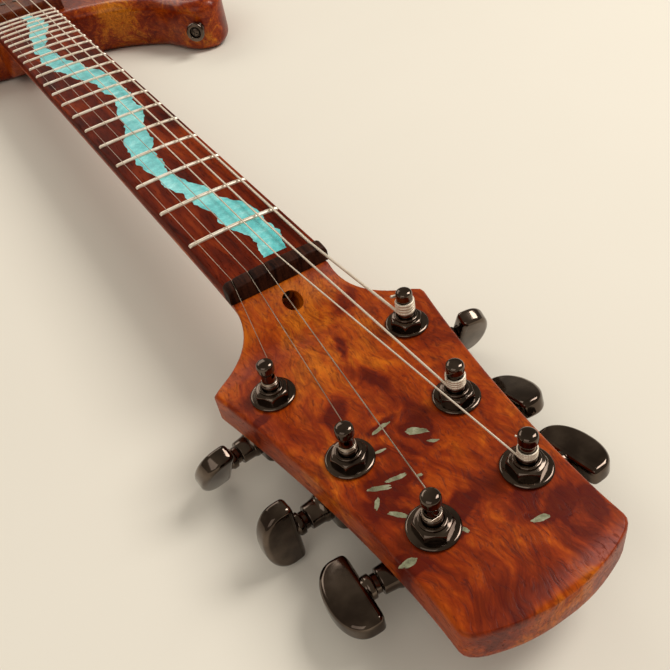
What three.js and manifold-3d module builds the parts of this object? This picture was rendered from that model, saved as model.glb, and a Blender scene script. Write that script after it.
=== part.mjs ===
// Electric guitar with a set neck, three tuners a side and a fixed six-saddle bridge.
// Millimetres. +Y runs from the saddles to the headstock, +X to the treble side, +Z out of the face.
// The origin is the point of the flat body back under the middle of the saddle line.

import * as THREE from 'three';
import { mergeVertices } from 'three/addons/utils/BufferGeometryUtils.js';
import Module from 'manifold-3d';

const wasm = await Module();
wasm.setup();

// Fits that the whole guitar shares
const seat = 0.3;
const runningFit = 0.3;
const cutOverrun = 2;

// Scale, fretboard and frets
const scaleLength = 648;
const fretCount = 21;
const stringCount = 6;
const nutWidth = 43;
const twelfthFretWidth = 52;
const boardThickness = 6;
const boardRadius = 305;
const boardTail = 8;
const boardTopSegments = 3;
const fretWidth = 2.4;
const fretHeight = 1.1;
const fretEndInset = 0.5;
const fretBite = 0.2;
const fretCrownShares = [[-1, 0], [-0.42, 1], [0.42, 1], [1, 0]];

// Turquoise river let into the fretboard
const riverDepth = 1.6;
const riverGap = 0.2;
const riverSink = 0.5;
const riverNutMargin = 6;
const riverTailMargin = 5;
const riverWidth = 10;
const riverEdgeMargin = 2.5;

// Nut
const nutThickness = 5.6;
const nutRise = 2.3;
const nutRearDrop = 0.7;
const nutAction = 0.5;
const nutOverhang = 0.8;
const nutCorner = 2.2;
const nutSlotGap = 0.3;
const nutEdgeMargin = 3.7;

// Body
const bodyThickness = 40;
const boardRise = 10;
const bodyHalfWidth = 172;
const bodyTail = 135;
const bodyEdge = 9;
const bassHornReach = 89;
const jointSetback = 3.6;
const outlineStepsPerPoint = 2;
const edgeSteps = 2;

// Neck, heel and tenon
const neckDepthAtNut = 21;
const neckDepthAtHeel = 24;
const neckEdge = 0.9;
const heelLength = 58;
const heelFloor = 5;
const heelReach = 34;
const tenonWidth = 42;
const tenonFloor = 8;
const tenonLength = 20;

// Headstock
const headDrop = 15;
const headThickness = 14;
const headLength = 163;
const headShoulderHalf = 46.6;
const headTipHalf = 29.4;
const headShoulder = 36;
const headFlareStart = 6.5;
const headTipLength = 15;
const headTipStart = headLength - headTipLength;
const headRampLength = 26;
const headEdge = 2.6;
const headFlareShare = 2.1;
const headTaperShare = 1.6;
const backRampStart = 26;
const backRampEnd = 30;

// Truss rod
const rodRadius = 2.5;
const rodDepth = 5.4;
const rodAnchorLength = 10;
const rodAnchorWidth = 6;
const rodTailMargin = 14;
const rodNutRadius = 3.9;
const rodNutLength = 12;
const rodNutSocket = 2;
const rodNutSocketDepth = 7;
const rodNutSetback = 1;
const rodChamberReach = 7.4;
const accessRadius = 4.1;
const accessRise = 35;
const accessAhead = 13.5;
const accessReach = 14;
const accessSides = 14;

// Tuners, from the post's axis outwards to the key
const postHeadShares = [0.308, 0.558, 0.7755];
const postSpread = [-28.7, -19.9, -18.4, 16.2, 22.3, 28.9];
const tunerFan = [9, 4.5, -3.5];
const keyRestAngles = [-68, -22, -9, 5, -88, 62];
const postHoleRadius = 5.3;
const postRadius = 3.1;
const postWaistRadius = 2.5;
const postHeight = 16.6;
const capShoulderShare = 0.6;
const postWaistStart = 6.6;
const postWaistEnd = 12.4;
const postCapDome = 1.2;
const postBearing = 3;
const postSides = 8;
const boreSides = 8;
const washerRadius = 8.2;
const washerThickness = 1.1;
const washerSides = 10;
const bushingFlats = 11;
const bushingHexHeight = 2.7;
const bushingCollarRadius = 4.4;
const bushingCollarHeight = 1;
const bushingSleeveRadius = 4.9;
const bushingSleeveLength = 8;
const housingLength = 17;
const housingWidth = 15;
const housingHeight = 12;
const housingCorner = 3;
const housingEdge = 1.6;
const housingPostMargin = 6.2;
const wormOffset = 5;
const wormDrop = 6.5;
const bossInnerRadius = 5;
const bossOuterRadius = 4.3;
const bossLength = 7;
const bossSides = 8;
const lugRadius = 3.1;
const lugThickness = 2;
const lugReach = 3.4;
const lugCornerShare = 0.9;
const tunerScrewRadius = 1;
const tunerScrewHead = 2.1;
const tunerScrewHeadHeight = 1.1;
const tunerScrewLength = 8;
const shaftRadius = 2.6;
const shaftLength = 12;
const stemNeckRadius = 3.2;
const stemNeckLength = 1.8;
const stemCollarRadius = 4;
const stemCollarLength = 2.4;
const stemSides = 8;
const keyHalfWidth = 13.5;
const keyDepth = 13.2;
const keyThickness = 7;
const keyEdge = 1.7;
const keyCorner = 4;
const keyBellyShares = [0.62, 0.58];
const keyCurveSegments = 3;

// Strings, low E first
const stringDiameters = [1.17, 0.91, 0.66, 0.43, 0.33, 0.25];
const windingTurns = [2.6, 3, 3, 2, 2, 2];
const windingGap = 0.45;
const windingFloor = 0.3;
const windingTail = 4;
const turnSteps = 12;
const wireSides = 5;
const ballSides = 5;
const bridgeSpread = 52.5;
const twelfthAction = 2;
const ballRadius = 2;
const ballLength = 3;

// Bridge
const bridgeWidth = 82;
const bridgeFront = 12;
const bridgeRear = 30;
const bridgePlate = 3;
const bridgeWallHeight = 9;
const bridgeWallThickness = 3;
const bridgeHole = 9.5;
const bridgeHoleRadius = 1.7;
const saddleGap = 0.6;
const saddleFront = 4;
const saddleRear = 15.5;
const saddleLift = 2.4;
const saddleRearDrop = 2.4;
const saddleNose = 1.4;
const saddleCrestLead = 0.3;
const saddleSlotWidth = 2.8;
const saddleSlotEnd = 12.5;
const saddleTravel = 3;
const saddleCompensation = [4, 3, 2.2, 2.6, 1.6, 1];
const heightScrewRadius = 1.2;
const heightScrewSpread = 3.1;
const heightScrewLead = 2.15;
const intonationRise = 5.4;
const intonationRadius = 1.3;
const intonationHead = 2.4;
const intonationHeadLength = 1.8;
const intonationTip = 1.6;
const bridgeScrewBack = 22.5;
const bridgeScrewSpread = 21;
const bridgeFrontScrewLead = 5.5;
const bridgeFrontScrewSpread = 35.5;
const bridgeScrewRadius = 1.9;
const bridgeScrewHead = 3.3;
const bridgeScrewHeadHeight = 2.2;
const bridgeScrewLength = 24;
const ferruleRadius = 4.2;
const ferruleLength = 11;
const ferruleBore = 2.6;
const ferruleThroat = 1.2;
const ferruleRecess = 0.4;
const ferruleBallDepth = 7;
const smallSides = 8;
const fastenerSides = 6;
const headRimShare = 0.7;

// Pickups with wooden covers
const coverLength = 80;
const coverWidth = 44;
const coverCorner = 6;
const coverEdge = 1.6;
const coverHeight = 24;
const coverRise = 10;
const neckCoverGap = 21.5;
const bridgeCoverGap = 5;
const cavityGap = 0.5;
const poleRadius = 2.4;
const poleProud = 0.7;
const poleLength = 12;
const poleRowBack = 30;
const poleSpread = 53.5;
const pickupScrewInset = 5;
const pickupScrewRadius = 1.4;
const pickupScrewHead = 2.6;
const pickupScrewHeadHeight = 1.2;
const pickupScrewLength = 34;

// Controls, in a cavity closed from the back
const controlSideShare = 0.535;
const controlBack = 50;
const controlAngle = -52;
const controlSpacingShare = 0.2093;
const cavityWidth = 44;
const cavityEndMargin = 18;
const cavityRoof = 6;
const cavityCorner = 14;
const coverLedge = 7;
const coverPanel = 2.6;
const coverPanelRecess = 0.4;
const coverScrewRadius = 1.2;
const coverScrewLength = 10;
const potRadius = 12;
const potHeight = 10;
const potBushingRadius = 3.7;
const potNutFlats = 10;
const potNutHeight = 2.4;
const potBore = 3.3;
const potShaftRadius = 2.9;
const knobRadius = 9.5;
const knobHeight = 17;
const knobSkirt = 0.8;
const knobRecessRadius = 7.4;
const knobRecessDepth = 3.6;
const knobWall = 3;
const knobSides = 14;
const knobWaistShare = 0.86;
const knobShoulderShare = 0.85;
const switchCanLength = 20;
const switchCanWidth = 14;
const switchCanHeight = 22;
const switchCanCorner = 0.5;
const switchBushingRadius = 5.8;
const switchBushingRise = 4.4;
const switchNutRadius = 8.4;
const switchNutHeight = 2.6;
const switchThroat = 4.2;
const switchPivotDrop = 3;
const switchTravel = 14;
const leverRadius = 1.5;
const leverLength = 17;
const leverTip = 3.4;
const leverTipShares = [0.5, 0.68, 0.92];
const leverBallShare = 0.7;
const jackBackShare = 0.3;
const jackRadius = 10.5;
const jackBarrelRadius = 7;
const jackLength = 26;
const jackLip = 1.4;
const jackSeatDepth = 1.2;
const jackBore = 3.4;
const jackEnd = 1.5;
const jackSides = 14;
const wirewayRadius = 3;

// Strap buttons
const buttonRadius = 7.5;
const buttonBase = 5.6;
const buttonWaist = 4.2;
const buttonHeight = 11;
const buttonFlange = 3.2;
const buttonCup = 4.3;
const buttonCupDepth = 2.8;
const buttonScrewRadius = 2;
const buttonScrewHead = 3.7;
const buttonScrewHeadHeight = 2;
const buttonScrewLength = 26;
const hornButtonDirection = 58;
const hornButtonShare = 0.88;
const buttonSides = 12;
const buttonWaistShare = 0.45;
const buttonRimShare = 0.9;

// Levels and places that follow from the driving sizes
const bodyTop = bodyThickness;
const boardTop = bodyTop + boardRise;
const boardBottom = boardTop - boardThickness;
const headFace = boardTop - headDrop;
const headBack = headFace - headThickness;
const nutFront = scaleLength;
const nutRear = nutFront + nutThickness;
const neckTop = boardBottom - seat;
const boardEnd = scaleLength - fretDistance(fretCount) - boardTail;
const neckJoint = boardEnd - jointSetback;
const wormLevel = headBack - wormDrop;
const fretTop = boardTop + fretHeight;

// Distance from the nut to a fret
function fretDistance(number) {
  return scaleLength * (1 - 2 ** (-number / 12));
}

// Half width of the board at a distance from the nut
function boardHalf(distance) {
  const growth = (twelfthFretWidth - nutWidth) / fretDistance(12);
  return (nutWidth + growth * distance) / 2;
}

// How far a crowned surface has dropped at x from its middle
function crownDrop(x) {
  return boardRadius - Math.sqrt(boardRadius ** 2 - x ** 2);
}

// Eases from 0 to 1 between two places
function ease(value, from, to) {
  const share = THREE.MathUtils.clamp((value - from) / (to - from), 0, 1);
  return share * share * (3 - 2 * share);
}

// Geometry helpers

// Welds a geometry, drops its flat triangles and turns its faces out
function closed(geometry) {
  const bare = new THREE.BufferGeometry();
  bare.setAttribute('position', geometry.getAttribute('position').clone());
  if (geometry.index) {
    bare.setIndex(geometry.index.clone());
  }
  const welded = mergeVertices(bare);
  const from = welded.index.array;
  const kept = [];
  for (let i = 0; i < from.length; i += 3) {
    const [a, b, c] = [from[i], from[i + 1], from[i + 2]];
    if (a !== b && b !== c && c !== a) {
      kept.push(a, b, c);
    }
  }
  welded.setIndex(kept);
  if (signedVolume(welded) < 0) {
    for (let i = 0; i < kept.length; i += 3) {
      [kept[i + 1], kept[i + 2]] = [kept[i + 2], kept[i + 1]];
    }
    welded.setIndex(kept);
  }
  return welded;
}

function signedVolume(geometry) {
  const place = geometry.getAttribute('position');
  const index = geometry.index.array;
  const [a, b, c] = [new THREE.Vector3(), new THREE.Vector3(), new THREE.Vector3()];
  let total = 0;
  for (let i = 0; i < index.length; i += 3) {
    a.fromBufferAttribute(place, index[i]);
    b.fromBufferAttribute(place, index[i + 1]);
    c.fromBufferAttribute(place, index[i + 2]);
    total += a.dot(b.cross(c));
  }
  return total;
}

function toSolid(geometry) {
  const ready = closed(geometry);
  return new wasm.Manifold(new wasm.Mesh({
    numProp: 3,
    vertProperties: Float32Array.from(ready.getAttribute('position').array),
    triVerts: Uint32Array.from(ready.index.array),
  }));
}

function toGeometry(solid) {
  const mesh = solid.getMesh();
  const geometry = new THREE.BufferGeometry();
  geometry.setAttribute('position', new THREE.BufferAttribute(mesh.vertProperties, 3));
  geometry.setIndex(new THREE.BufferAttribute(mesh.triVerts, 1));
  return closed(geometry);
}

function join(...geometries) {
  return toGeometry(geometries.map(toSolid).reduce((whole, next) => whole.add(next)));
}

function cut(base, ...tools) {
  return toGeometry(tools.map(toSolid).reduce((left, next) => left.subtract(next), toSolid(base)));
}

function common(base, tool) {
  return toGeometry(toSolid(base).intersect(toSolid(tool)));
}

// A closed skin over rings that have the same number of points
function loft(rings) {
  const count = rings[0].length;
  const points = rings.flat();
  const index = [];
  for (let r = 0; r < rings.length - 1; r += 1) {
    for (let i = 0; i < count; i += 1) {
      const a = r * count + i;
      const b = r * count + (i + 1) % count;
      index.push(a, b, b + count, a, b + count, a + count);
    }
  }
  const last = (rings.length - 1) * count;
  for (let i = 1; i < count - 1; i += 1) {
    index.push(0, i + 1, i, last, last + i, last + i + 1);
  }
  return closed(new THREE.BufferGeometry().setFromPoints(points).setIndex(index));
}

// A box between two corners
function block(low, high) {
  const size = high.map((value, i) => value - low[i]);
  const middle = high.map((value, i) => (value + low[i]) / 2);
  return new THREE.BoxGeometry(...size).translate(...middle);
}

// A turned piece: the profile is a list of [radius, height], the axis is +Z
function turned(profile, sides) {
  const points = profile.map(([radius, height]) => new THREE.Vector2(radius, height));
  return closed(new THREE.LatheGeometry(points, sides).rotateX(Math.PI / 2));
}

// A plain round rod along +Z between two heights
function rod(radius, low, high, sides) {
  return turned([[0, low], [radius, low], [radius, high], [0, high]], sides);
}

// A hexagonal rod along +Z, by its width across flats
function hexagon(flats, low, high) {
  return rod(flats / 2 / Math.cos(Math.PI / 6), low, high, 6);
}

function roundedRectangle(length, width, corner) {
  const [x, y] = [length / 2, width / 2];
  const shape = new THREE.Shape();
  shape.moveTo(x - corner, -y);
  shape.absarc(x - corner, corner - y, corner, -Math.PI / 2, 0);
  shape.absarc(x - corner, y - corner, corner, 0, Math.PI / 2);
  shape.absarc(corner - x, y - corner, corner, Math.PI / 2, Math.PI);
  shape.absarc(corner - x, corner - y, corner, Math.PI, 1.5 * Math.PI);
  shape.closePath();
  return shape;
}

// An outline in X and Y raised between two heights, with rounded edges when edge is given
function raised(shape, low, high, edge = 0, steps = 2, curveSegments = 4) {
  const geometry = new THREE.ExtrudeGeometry(shape, {
    depth: high - low - 2 * edge,
    steps: 1,
    curveSegments,
    bevelEnabled: edge > 0,
    bevelThickness: edge,
    bevelSize: edge,
    bevelOffset: -edge,
    bevelSegments: steps,
  });
  return geometry.translate(0, 0, low + edge);
}

// A wire along a row of points, with flat ends
function wire(points, radius, sides) {
  const rings = [];
  const normal = new THREE.Vector3();
  points.forEach((point, i) => {
    const before = points[Math.max(i - 1, 0)];
    const after = points[Math.min(i + 1, points.length - 1)];
    const along = after.clone().sub(before).normalize();
    if (i === 0) {
      normal.set(1, 0, 0).cross(along).normalize();
    }
    normal.addScaledVector(along, -normal.dot(along)).normalize();
    const across = along.clone().cross(normal);
    const ring = [];
    for (let s = 0; s < sides; s += 1) {
      const angle = 2 * Math.PI * s / sides;
      ring.push(point.clone()
        .addScaledVector(normal, radius * Math.cos(angle))
        .addScaledVector(across, radius * Math.sin(angle)));
    }
    rings.push(ring);
  });
  return loft(rings);
}

// Where a line from a point touches a circle: side is 1 for the left of the way there, -1 for the right
function tangentAngle(centre, radius, point, side) {
  const way = Math.atan2(point[1] - centre[1], point[0] - centre[0]);
  const reach = Math.hypot(point[0] - centre[0], point[1] - centre[1]);
  return way + side * Math.acos(radius / reach);
}

// Materials
const finishes = {
  burl: new THREE.MeshStandardMaterial({ color: 0xa8561c, roughness: 0.42, metalness: 0 }),
  neckWood: new THREE.MeshStandardMaterial({ color: 0xa04f1a, roughness: 0.45, metalness: 0 }),
  darkWood: new THREE.MeshStandardMaterial({ color: 0x4a1f14, roughness: 0.5, metalness: 0 }),
  coverWood: new THREE.MeshStandardMaterial({ color: 0x8a4a20, roughness: 0.5, metalness: 0 }),
  turquoise: new THREE.MeshStandardMaterial({ color: 0x4fc8bd, roughness: 0.35, metalness: 0 }),
  ebony: new THREE.MeshStandardMaterial({ color: 0x1c1310, roughness: 0.5, metalness: 0 }),
  blackNickel: new THREE.MeshStandardMaterial({ color: 0x1a1514, roughness: 0.16, metalness: 0.9 }),
  steel: new THREE.MeshStandardMaterial({ color: 0x8d8a86, roughness: 0.3, metalness: 1 }),
  woundWire: new THREE.MeshStandardMaterial({ color: 0xd9c8ac, roughness: 0.35, metalness: 0.9 }),
  plainWire: new THREE.MeshStandardMaterial({ color: 0xd0ccc6, roughness: 0.25, metalness: 1 }),
};

const guitar = new THREE.Group();

function add(name, geometry, finish, parent = guitar) {
  const mesh = new THREE.Mesh(geometry, finishes[finish].clone());
  mesh.name = name;
  parent.add(mesh);
  return mesh;
}

// Body outline: shares of the half width across, and along of the tail (below 0), of the joint
// (0 to 1) and of the bass horn's reach (above 1)
const bodyOutlineShares = [
  [0.12, 0.975], [0.21, 0.957], [0.31, 0.935], [0.41, 0.94], [0.49, 0.99], [0.545, 1.12], [0.605, 1.33],
  [0.68, 1.42], [0.76, 1.32], [0.83, 1.06], [0.89, 0.82], [0.915, 0.6], [0.86, 0.36], [0.8, 0.17],
  [0.785, 0], [0.85, -0.22], [0.93, -0.42], [0.955, -0.6], [0.9, -0.8], [0.72, -0.94], [0.42, -0.99],
  [0, -1],
  [-0.42, -0.99], [-0.74, -0.94], [-0.92, -0.78], [-0.985, -0.52], [-0.95, -0.3], [-0.86, -0.06],
  [-0.8, 0.12], [-0.83, 0.34], [-0.93, 0.6], [-0.992, 0.82], [-0.997, 1.03], [-0.96, 1.3],
  [-0.915, 1.6], [-0.87, 1.85], [-0.8, 1.985], [-0.72, 1.97], [-0.655, 1.85], [-0.62, 1.66], [-0.59, 1.48],
  [-0.52, 1.31], [-0.42, 1.14], [-0.31, 1.04], [-0.18, 0.985],
];

function bodyPlace([across, along]) {
  let y = along * bodyTail;
  if (along > 0) {
    y = Math.min(along, 1) * neckJoint + Math.max(along - 1, 0) * bassHornReach;
  }
  return new THREE.Vector3(across * bodyHalfWidth, y, 0);
}

const bodyCurve = new THREE.CatmullRomCurve3(bodyOutlineShares.map(bodyPlace), true, 'centripetal');
const bodyOutline = bodyCurve.getPoints(bodyOutlineShares.length * outlineStepsPerPoint).slice(1);

// Positive when the outline runs anticlockwise seen from the face
const outlineTurn = Math.sign(THREE.ShapeUtils.area(bodyOutline));

// The facet of the rim that faces a direction in degrees, among those whose middle is wanted
function facetFacing(degrees, wanted) {
  const angle = THREE.MathUtils.degToRad(degrees);
  const direction = new THREE.Vector3(Math.cos(angle), Math.sin(angle), 0);
  let best = null;
  bodyOutline.forEach((start, i) => {
    const end = bodyOutline[(i + 1) % bodyOutline.length];
    const middle = start.clone().lerp(end, 0.5);
    const normal = new THREE.Vector3(end.y - start.y, start.x - end.x, 0).normalize();
    const match = normal.multiplyScalar(outlineTurn).dot(direction);
    if (wanted(middle) && (!best || match > best.match)) {
      best = { middle, normal, match };
    }
  });
  return best;
}

// Neck sections: half a section from the top edge round to the middle of the back
const sectionAngles = [10, 26, 43, 60, 75];
const roundSideShare = 0.8;
const roundBackShare = 1.15;
const edgeMidShare = 0.3;

function neckSection({ y, half, top, bottom, square }, grow) {
  const [wide, high, low] = [half + grow, top + grow, bottom - grow];
  const edge = THREE.MathUtils.lerp(neckEdge, headEdge, square);
  const cheek = high - edge;
  const round = sectionAngles.map((degrees) => {
    const angle = THREE.MathUtils.degToRad(degrees);
    return [
      wide * Math.cos(angle) ** roundSideShare,
      cheek - (cheek - low) * Math.sin(angle) ** roundBackShare,
    ];
  });
  const boxed = [
    [wide, (high + low) / 2],
    [wide, low + edge],
    [wide - edge * edgeMidShare, low + edge * edgeMidShare],
    [wide - edge, low],
    [(wide - edge) / 2, low],
  ];
  const side = [
    [wide - edge, high],
    [wide - edge * edgeMidShare, high - edge * edgeMidShare],
    [wide, cheek],
    ...round.map(([x, z], i) => [
      THREE.MathUtils.lerp(x, boxed[i][0], square),
      THREE.MathUtils.lerp(z, boxed[i][1], square),
    ]),
  ];
  const other = side.map(([x, z]) => [-x, z]).reverse();
  return [...side, [0, low], ...other].map(([x, z]) => new THREE.Vector3(x, y, z));
}

// Half width, top, back and squareness of the neck at a distance ahead of the nut's front
function neckForm(distance) {
  const y = nutFront + distance;
  const jointDistance = nutFront - neckJoint;
  const along = THREE.MathUtils.clamp(-distance / jointDistance, 0, 1);
  const shaftDepth = THREE.MathUtils.lerp(neckDepthAtNut, neckDepthAtHeel, along);
  const heel = 1 - ease(y, neckJoint, neckJoint + heelLength);
  const shaftBack = THREE.MathUtils.lerp(boardTop - shaftDepth, heelFloor, heel);
  const headBlend = ease(distance, -backRampStart, backRampEnd);
  const ramp = THREE.MathUtils.clamp((distance - nutThickness - 2 * seat) / headRampLength, 0, 1);
  const nose = THREE.MathUtils.clamp((distance - headLength + headEdge) / headEdge, 0, 1);
  const noseDrop = headEdge * (1 - Math.sqrt(1 - nose ** 2));
  return {
    y,
    half: headHalf(distance, jointDistance),
    top: headFace + (neckTop - headFace) * (1 - ramp) ** 2 - noseDrop,
    bottom: THREE.MathUtils.lerp(shaftBack, headBack, headBlend) + noseDrop,
    square: Math.max(heel, ease(distance, 0, headShoulder)),
  };
}

// Half width of the neck and headstock in plan
function headHalf(distance, jointDistance) {
  const nutHalf = nutWidth / 2;
  if (distance <= headFlareStart) {
    return distance > 0 ? nutHalf : boardHalf(Math.min(-distance, jointDistance));
  }
  if (distance <= headShoulder) {
    const flare = (distance - headFlareStart) / (headShoulder - headFlareStart);
    return nutHalf + (headShoulderHalf - nutHalf) * flare ** headFlareShare;
  }
  if (distance <= headTipStart) {
    const taper = (distance - headShoulder) / (headTipStart - headShoulder);
    return headTipHalf + (headShoulderHalf - headTipHalf) * (1 - taper) ** headTaperShare;
  }
  const end = (distance - headTipStart) / (headLength - headTipStart);
  return headTipHalf * Math.sqrt(1 - end ** 3);
}

// Stations of the neck, as shares of the stretch that they divide
const heelShares = [0, 0.2, 0.4, 0.62, 1];
const shaftShares = [0.4, 0.75];
const backRampShares = [0, 0.3, 0.65, 1];
const faceRampShares = [0, 0.1, 0.2, 0.32, 0.46, 0.62, 0.8, 1];
const shoulderShares = [0.95, 1, 1.08, 1.3];
const taperShares = [0.25, 0.45, 0.7, 1];
const tipShares = [0.3, 0.55, 0.75, 0.88, 0.95, 0.985];

function neckStations() {
  const joint = neckJoint - nutFront;
  const rampStart = nutThickness + 2 * seat;
  const heelFront = joint + heelLength;
  const rampEnd = rampStart + headRampLength;
  return [
    ...heelShares.map((share) => joint + share * heelLength),
    ...shaftShares.map((share) => THREE.MathUtils.lerp(heelFront, -backRampStart, share)),
    ...backRampShares.map((share) => -backRampStart * (1 - share)),
    ...faceRampShares.map((share) => rampStart + share * headRampLength),
    ...shoulderShares.map((share) => share * headShoulder).filter((place) => place > rampEnd),
    ...taperShares.map((share) => THREE.MathUtils.lerp(headShoulder, headTipStart, share))
      .filter((place) => place > shoulderShares.at(-1) * headShoulder),
    ...tipShares.map((share) => THREE.MathUtils.lerp(headTipStart, headLength, share)),
  ];
}

// The neck's blank from inside the body to a distance, grown by a fit all round
function neckBlank(rootEnd, stations, grow) {
  const forms = stations.map(neckForm);
  const root = { ...forms[0], y: rootEnd };
  return loft([root, ...forms].map((form) => neckSection(form, grow)));
}

const heelEnd = neckJoint - heelReach;
const tenonEnd = heelEnd - tenonLength;
const jointOpening = neckStations().slice(0, 2);

function tenon(grow) {
  return block(
    [-tenonWidth / 2 - grow, tenonEnd - grow, tenonFloor - grow],
    [tenonWidth / 2 + grow, heelEnd + heelReach / 2, bodyTop - seat + grow],
  );
}

// Fretboard: a tapered board with a crowned top
function boardTopAt(x, y) {
  return boardTop - crownDrop(x * boardHalf(0) / boardHalf(nutFront - y));
}

function boardRing(y, sink) {
  const half = boardHalf(nutFront - y);
  const ring = [new THREE.Vector3(-half, y, boardBottom), new THREE.Vector3(half, y, boardBottom)];
  for (let i = 0; i <= boardTopSegments; i += 1) {
    const x = half - 2 * half * i / boardTopSegments;
    ring.push(new THREE.Vector3(x, y, boardTopAt(x, y) - sink));
  }
  return ring;
}

function boardBlank(sink) {
  return loft([boardRing(boardEnd, sink), boardRing(nutFront - seat, sink)]);
}

// The river runs from the nut to the last fret: places along it, and across the board, with its width
const riverShares = [
  [0, -0.3, 0.7], [0.04, -0.5, 1], [0.09, -0.25, 1.3], [0.15, 0.1, 1.1], [0.2, 0.42, 0.8],
  [0.27, 0.5, 1], [0.34, 0.15, 1.2], [0.41, -0.3, 1.1], [0.48, -0.55, 0.8], [0.55, -0.45, 1.1],
  [0.62, -0.05, 1.4], [0.69, 0.35, 1.1], [0.76, 0.5, 0.8], [0.83, 0.25, 1], [0.9, -0.15, 1.2],
  [0.96, -0.2, 1], [1, -0.05, 0.6],
];

function riverShape(inset) {
  const first = nutFront - riverNutMargin;
  const last = boardEnd + riverTailMargin;
  const banks = [-1, 1].map((bank) => riverShares.map(([along, across, width], i) => {
    const y = THREE.MathUtils.lerp(first, last, along);
    const room = boardHalf(nutFront - y) - riverEdgeMargin;
    const half = riverWidth * width / 2 - inset;
    const middle = across * (room - riverWidth / 2);
    const ends = i === 0 || i === riverShares.length - 1;
    const drawn = ends ? inset * Math.sign(0.5 - along) : 0;
    return new THREE.Vector2(THREE.MathUtils.clamp(middle + bank * half, -room, room), y - drawn);
  }));
  return new THREE.Shape([...banks[0], ...banks[1].reverse()]);
}

const riverBed = boardTop - crownDrop(twelfthFretWidth / 2) - riverDepth;
const riverRecess = raised(riverShape(0), riverBed, boardTop + cutOverrun);
const riverBody = raised(riverShape(riverGap), riverBed + riverGap, boardTop + cutOverrun);

// Frets: each crown follows the board and bites into it
function fret(number) {
  const y = nutFront - fretDistance(number);
  const half = boardHalf(fretDistance(number));
  const rings = [];
  for (let i = 0; i <= boardTopSegments; i += 1) {
    const edge = half - fretEndInset;
    const x = THREE.MathUtils.clamp(2 * half * i / boardTopSegments - half, -edge, edge);
    const foot = boardTopAt(x, y) - fretBite;
    rings.push(fretCrownShares.map(([across, up]) => (
      new THREE.Vector3(x, y + across * fretWidth / 2, foot + up * (fretHeight + fretBite))
    )));
  }
  return loft(rings);
}

// Strings: the straight stretch from the saddle to the nut, seen as centre lines
function stringLine(i) {
  const radius = stringDiameters[i] / 2;
  const nutX = (nutWidth / 2 - nutEdgeMargin) * (2 * i / (stringCount - 1) - 1);
  const saddleX = bridgeSpread / 2 * (2 * i / (stringCount - 1) - 1);
  const nutZ = fretTop + nutAction - crownDrop(nutX) + radius;
  const saddleZ = fretTop + 2 * twelfthAction - nutAction - crownDrop(saddleX) + radius;
  return {
    radius,
    nut: new THREE.Vector3(nutX, nutFront, nutZ),
    saddle: new THREE.Vector3(saddleX, -saddleCompensation[i], saddleZ),
  };
}

// Each tuner stands at its post: low strings on the bass side, high ones on the treble side
function tunerPlace(i) {
  const hand = i < stringCount / 2 ? -1 : 1;
  const station = hand < 0 ? i : stringCount - 1 - i;
  return {
    hand,
    x: postSpread[i],
    y: nutFront + headLength * postHeadShares[station],
    turn: THREE.MathUtils.degToRad(hand > 0 ? tunerFan[station] : 180 - tunerFan[station]),
  };
}

const tunerPlaces = stringDiameters.map((diameter, i) => tunerPlace(i));

// The helix round the post, climbing from where the string comes in
function windingPath(i) {
  const { radius, nut } = stringLine(i);
  const { hand, x, y } = tunerPlaces[i];
  const reach = postWaistRadius + windingFloor + radius;
  const low = headFace + postWaistStart + windingFloor + radius;
  const start = tangentAngle([x, y], reach, [nut.x, nut.y + nutThickness], hand < 0 ? 1 : -1);
  const steps = Math.round(windingTurns[i] * turnSteps);
  const pitch = 2 * radius + windingGap;
  const path = [];
  for (let s = 0; s <= steps; s += 1) {
    const angle = start - hand * 2 * Math.PI * s / turnSteps;
    path.push(new THREE.Vector3(
      x + reach * Math.cos(angle),
      y + reach * Math.sin(angle),
      low + pitch * s / turnSteps,
    ));
  }
  const last = start - hand * 2 * Math.PI * steps / turnSteps;
  path.push(path.at(-1).clone().add(new THREE.Vector3(
    hand * windingTail * Math.sin(last),
    -hand * windingTail * Math.cos(last),
    0,
  )));
  return path;
}

const plateTop = bodyTop + seat + bridgePlate;
const ballFloor = ferruleRecess + ferruleBallDepth - seat - ballLength;

function stringPath(i) {
  const { radius, nut, saddle } = stringLine(i);
  const winding = windingPath(i);
  const rear = nut.clone().lerp(winding[0], nutThickness / (winding[0].y - nut.y));
  const drop = saddleNose;
  return [
    new THREE.Vector3(saddle.x, -bridgeHole, ballFloor + ballLength),
    new THREE.Vector3(saddle.x, -bridgeHole, plateTop),
    new THREE.Vector3(saddle.x, saddle.y - drop - radius, saddle.z - 2 * drop),
    new THREE.Vector3(saddle.x, saddle.y - drop / 2, saddle.z - drop / 2),
    new THREE.Vector3(saddle.x, saddle.y + drop / 2, saddle.z),
    nut,
    rear,
    ...winding,
  ];
}

function ball(i) {
  const { saddle } = stringLine(i);
  return rod(ballRadius, ballFloor, ballFloor + ballLength, ballSides * 2)
    .translate(saddle.x, -bridgeHole, 0);
}

// Least distance between two turns of a winding, less the string's thickness
function windingClearance(i) {
  const { radius } = stringLine(i);
  const path = windingPath(i);
  let least = Infinity;
  path.forEach((a, m) => {
    path.forEach((b, n) => {
      if (n - m > turnSteps / 2) {
        least = Math.min(least, a.distanceTo(b) - 2 * radius);
      }
    });
  });
  return least;
}

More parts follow.
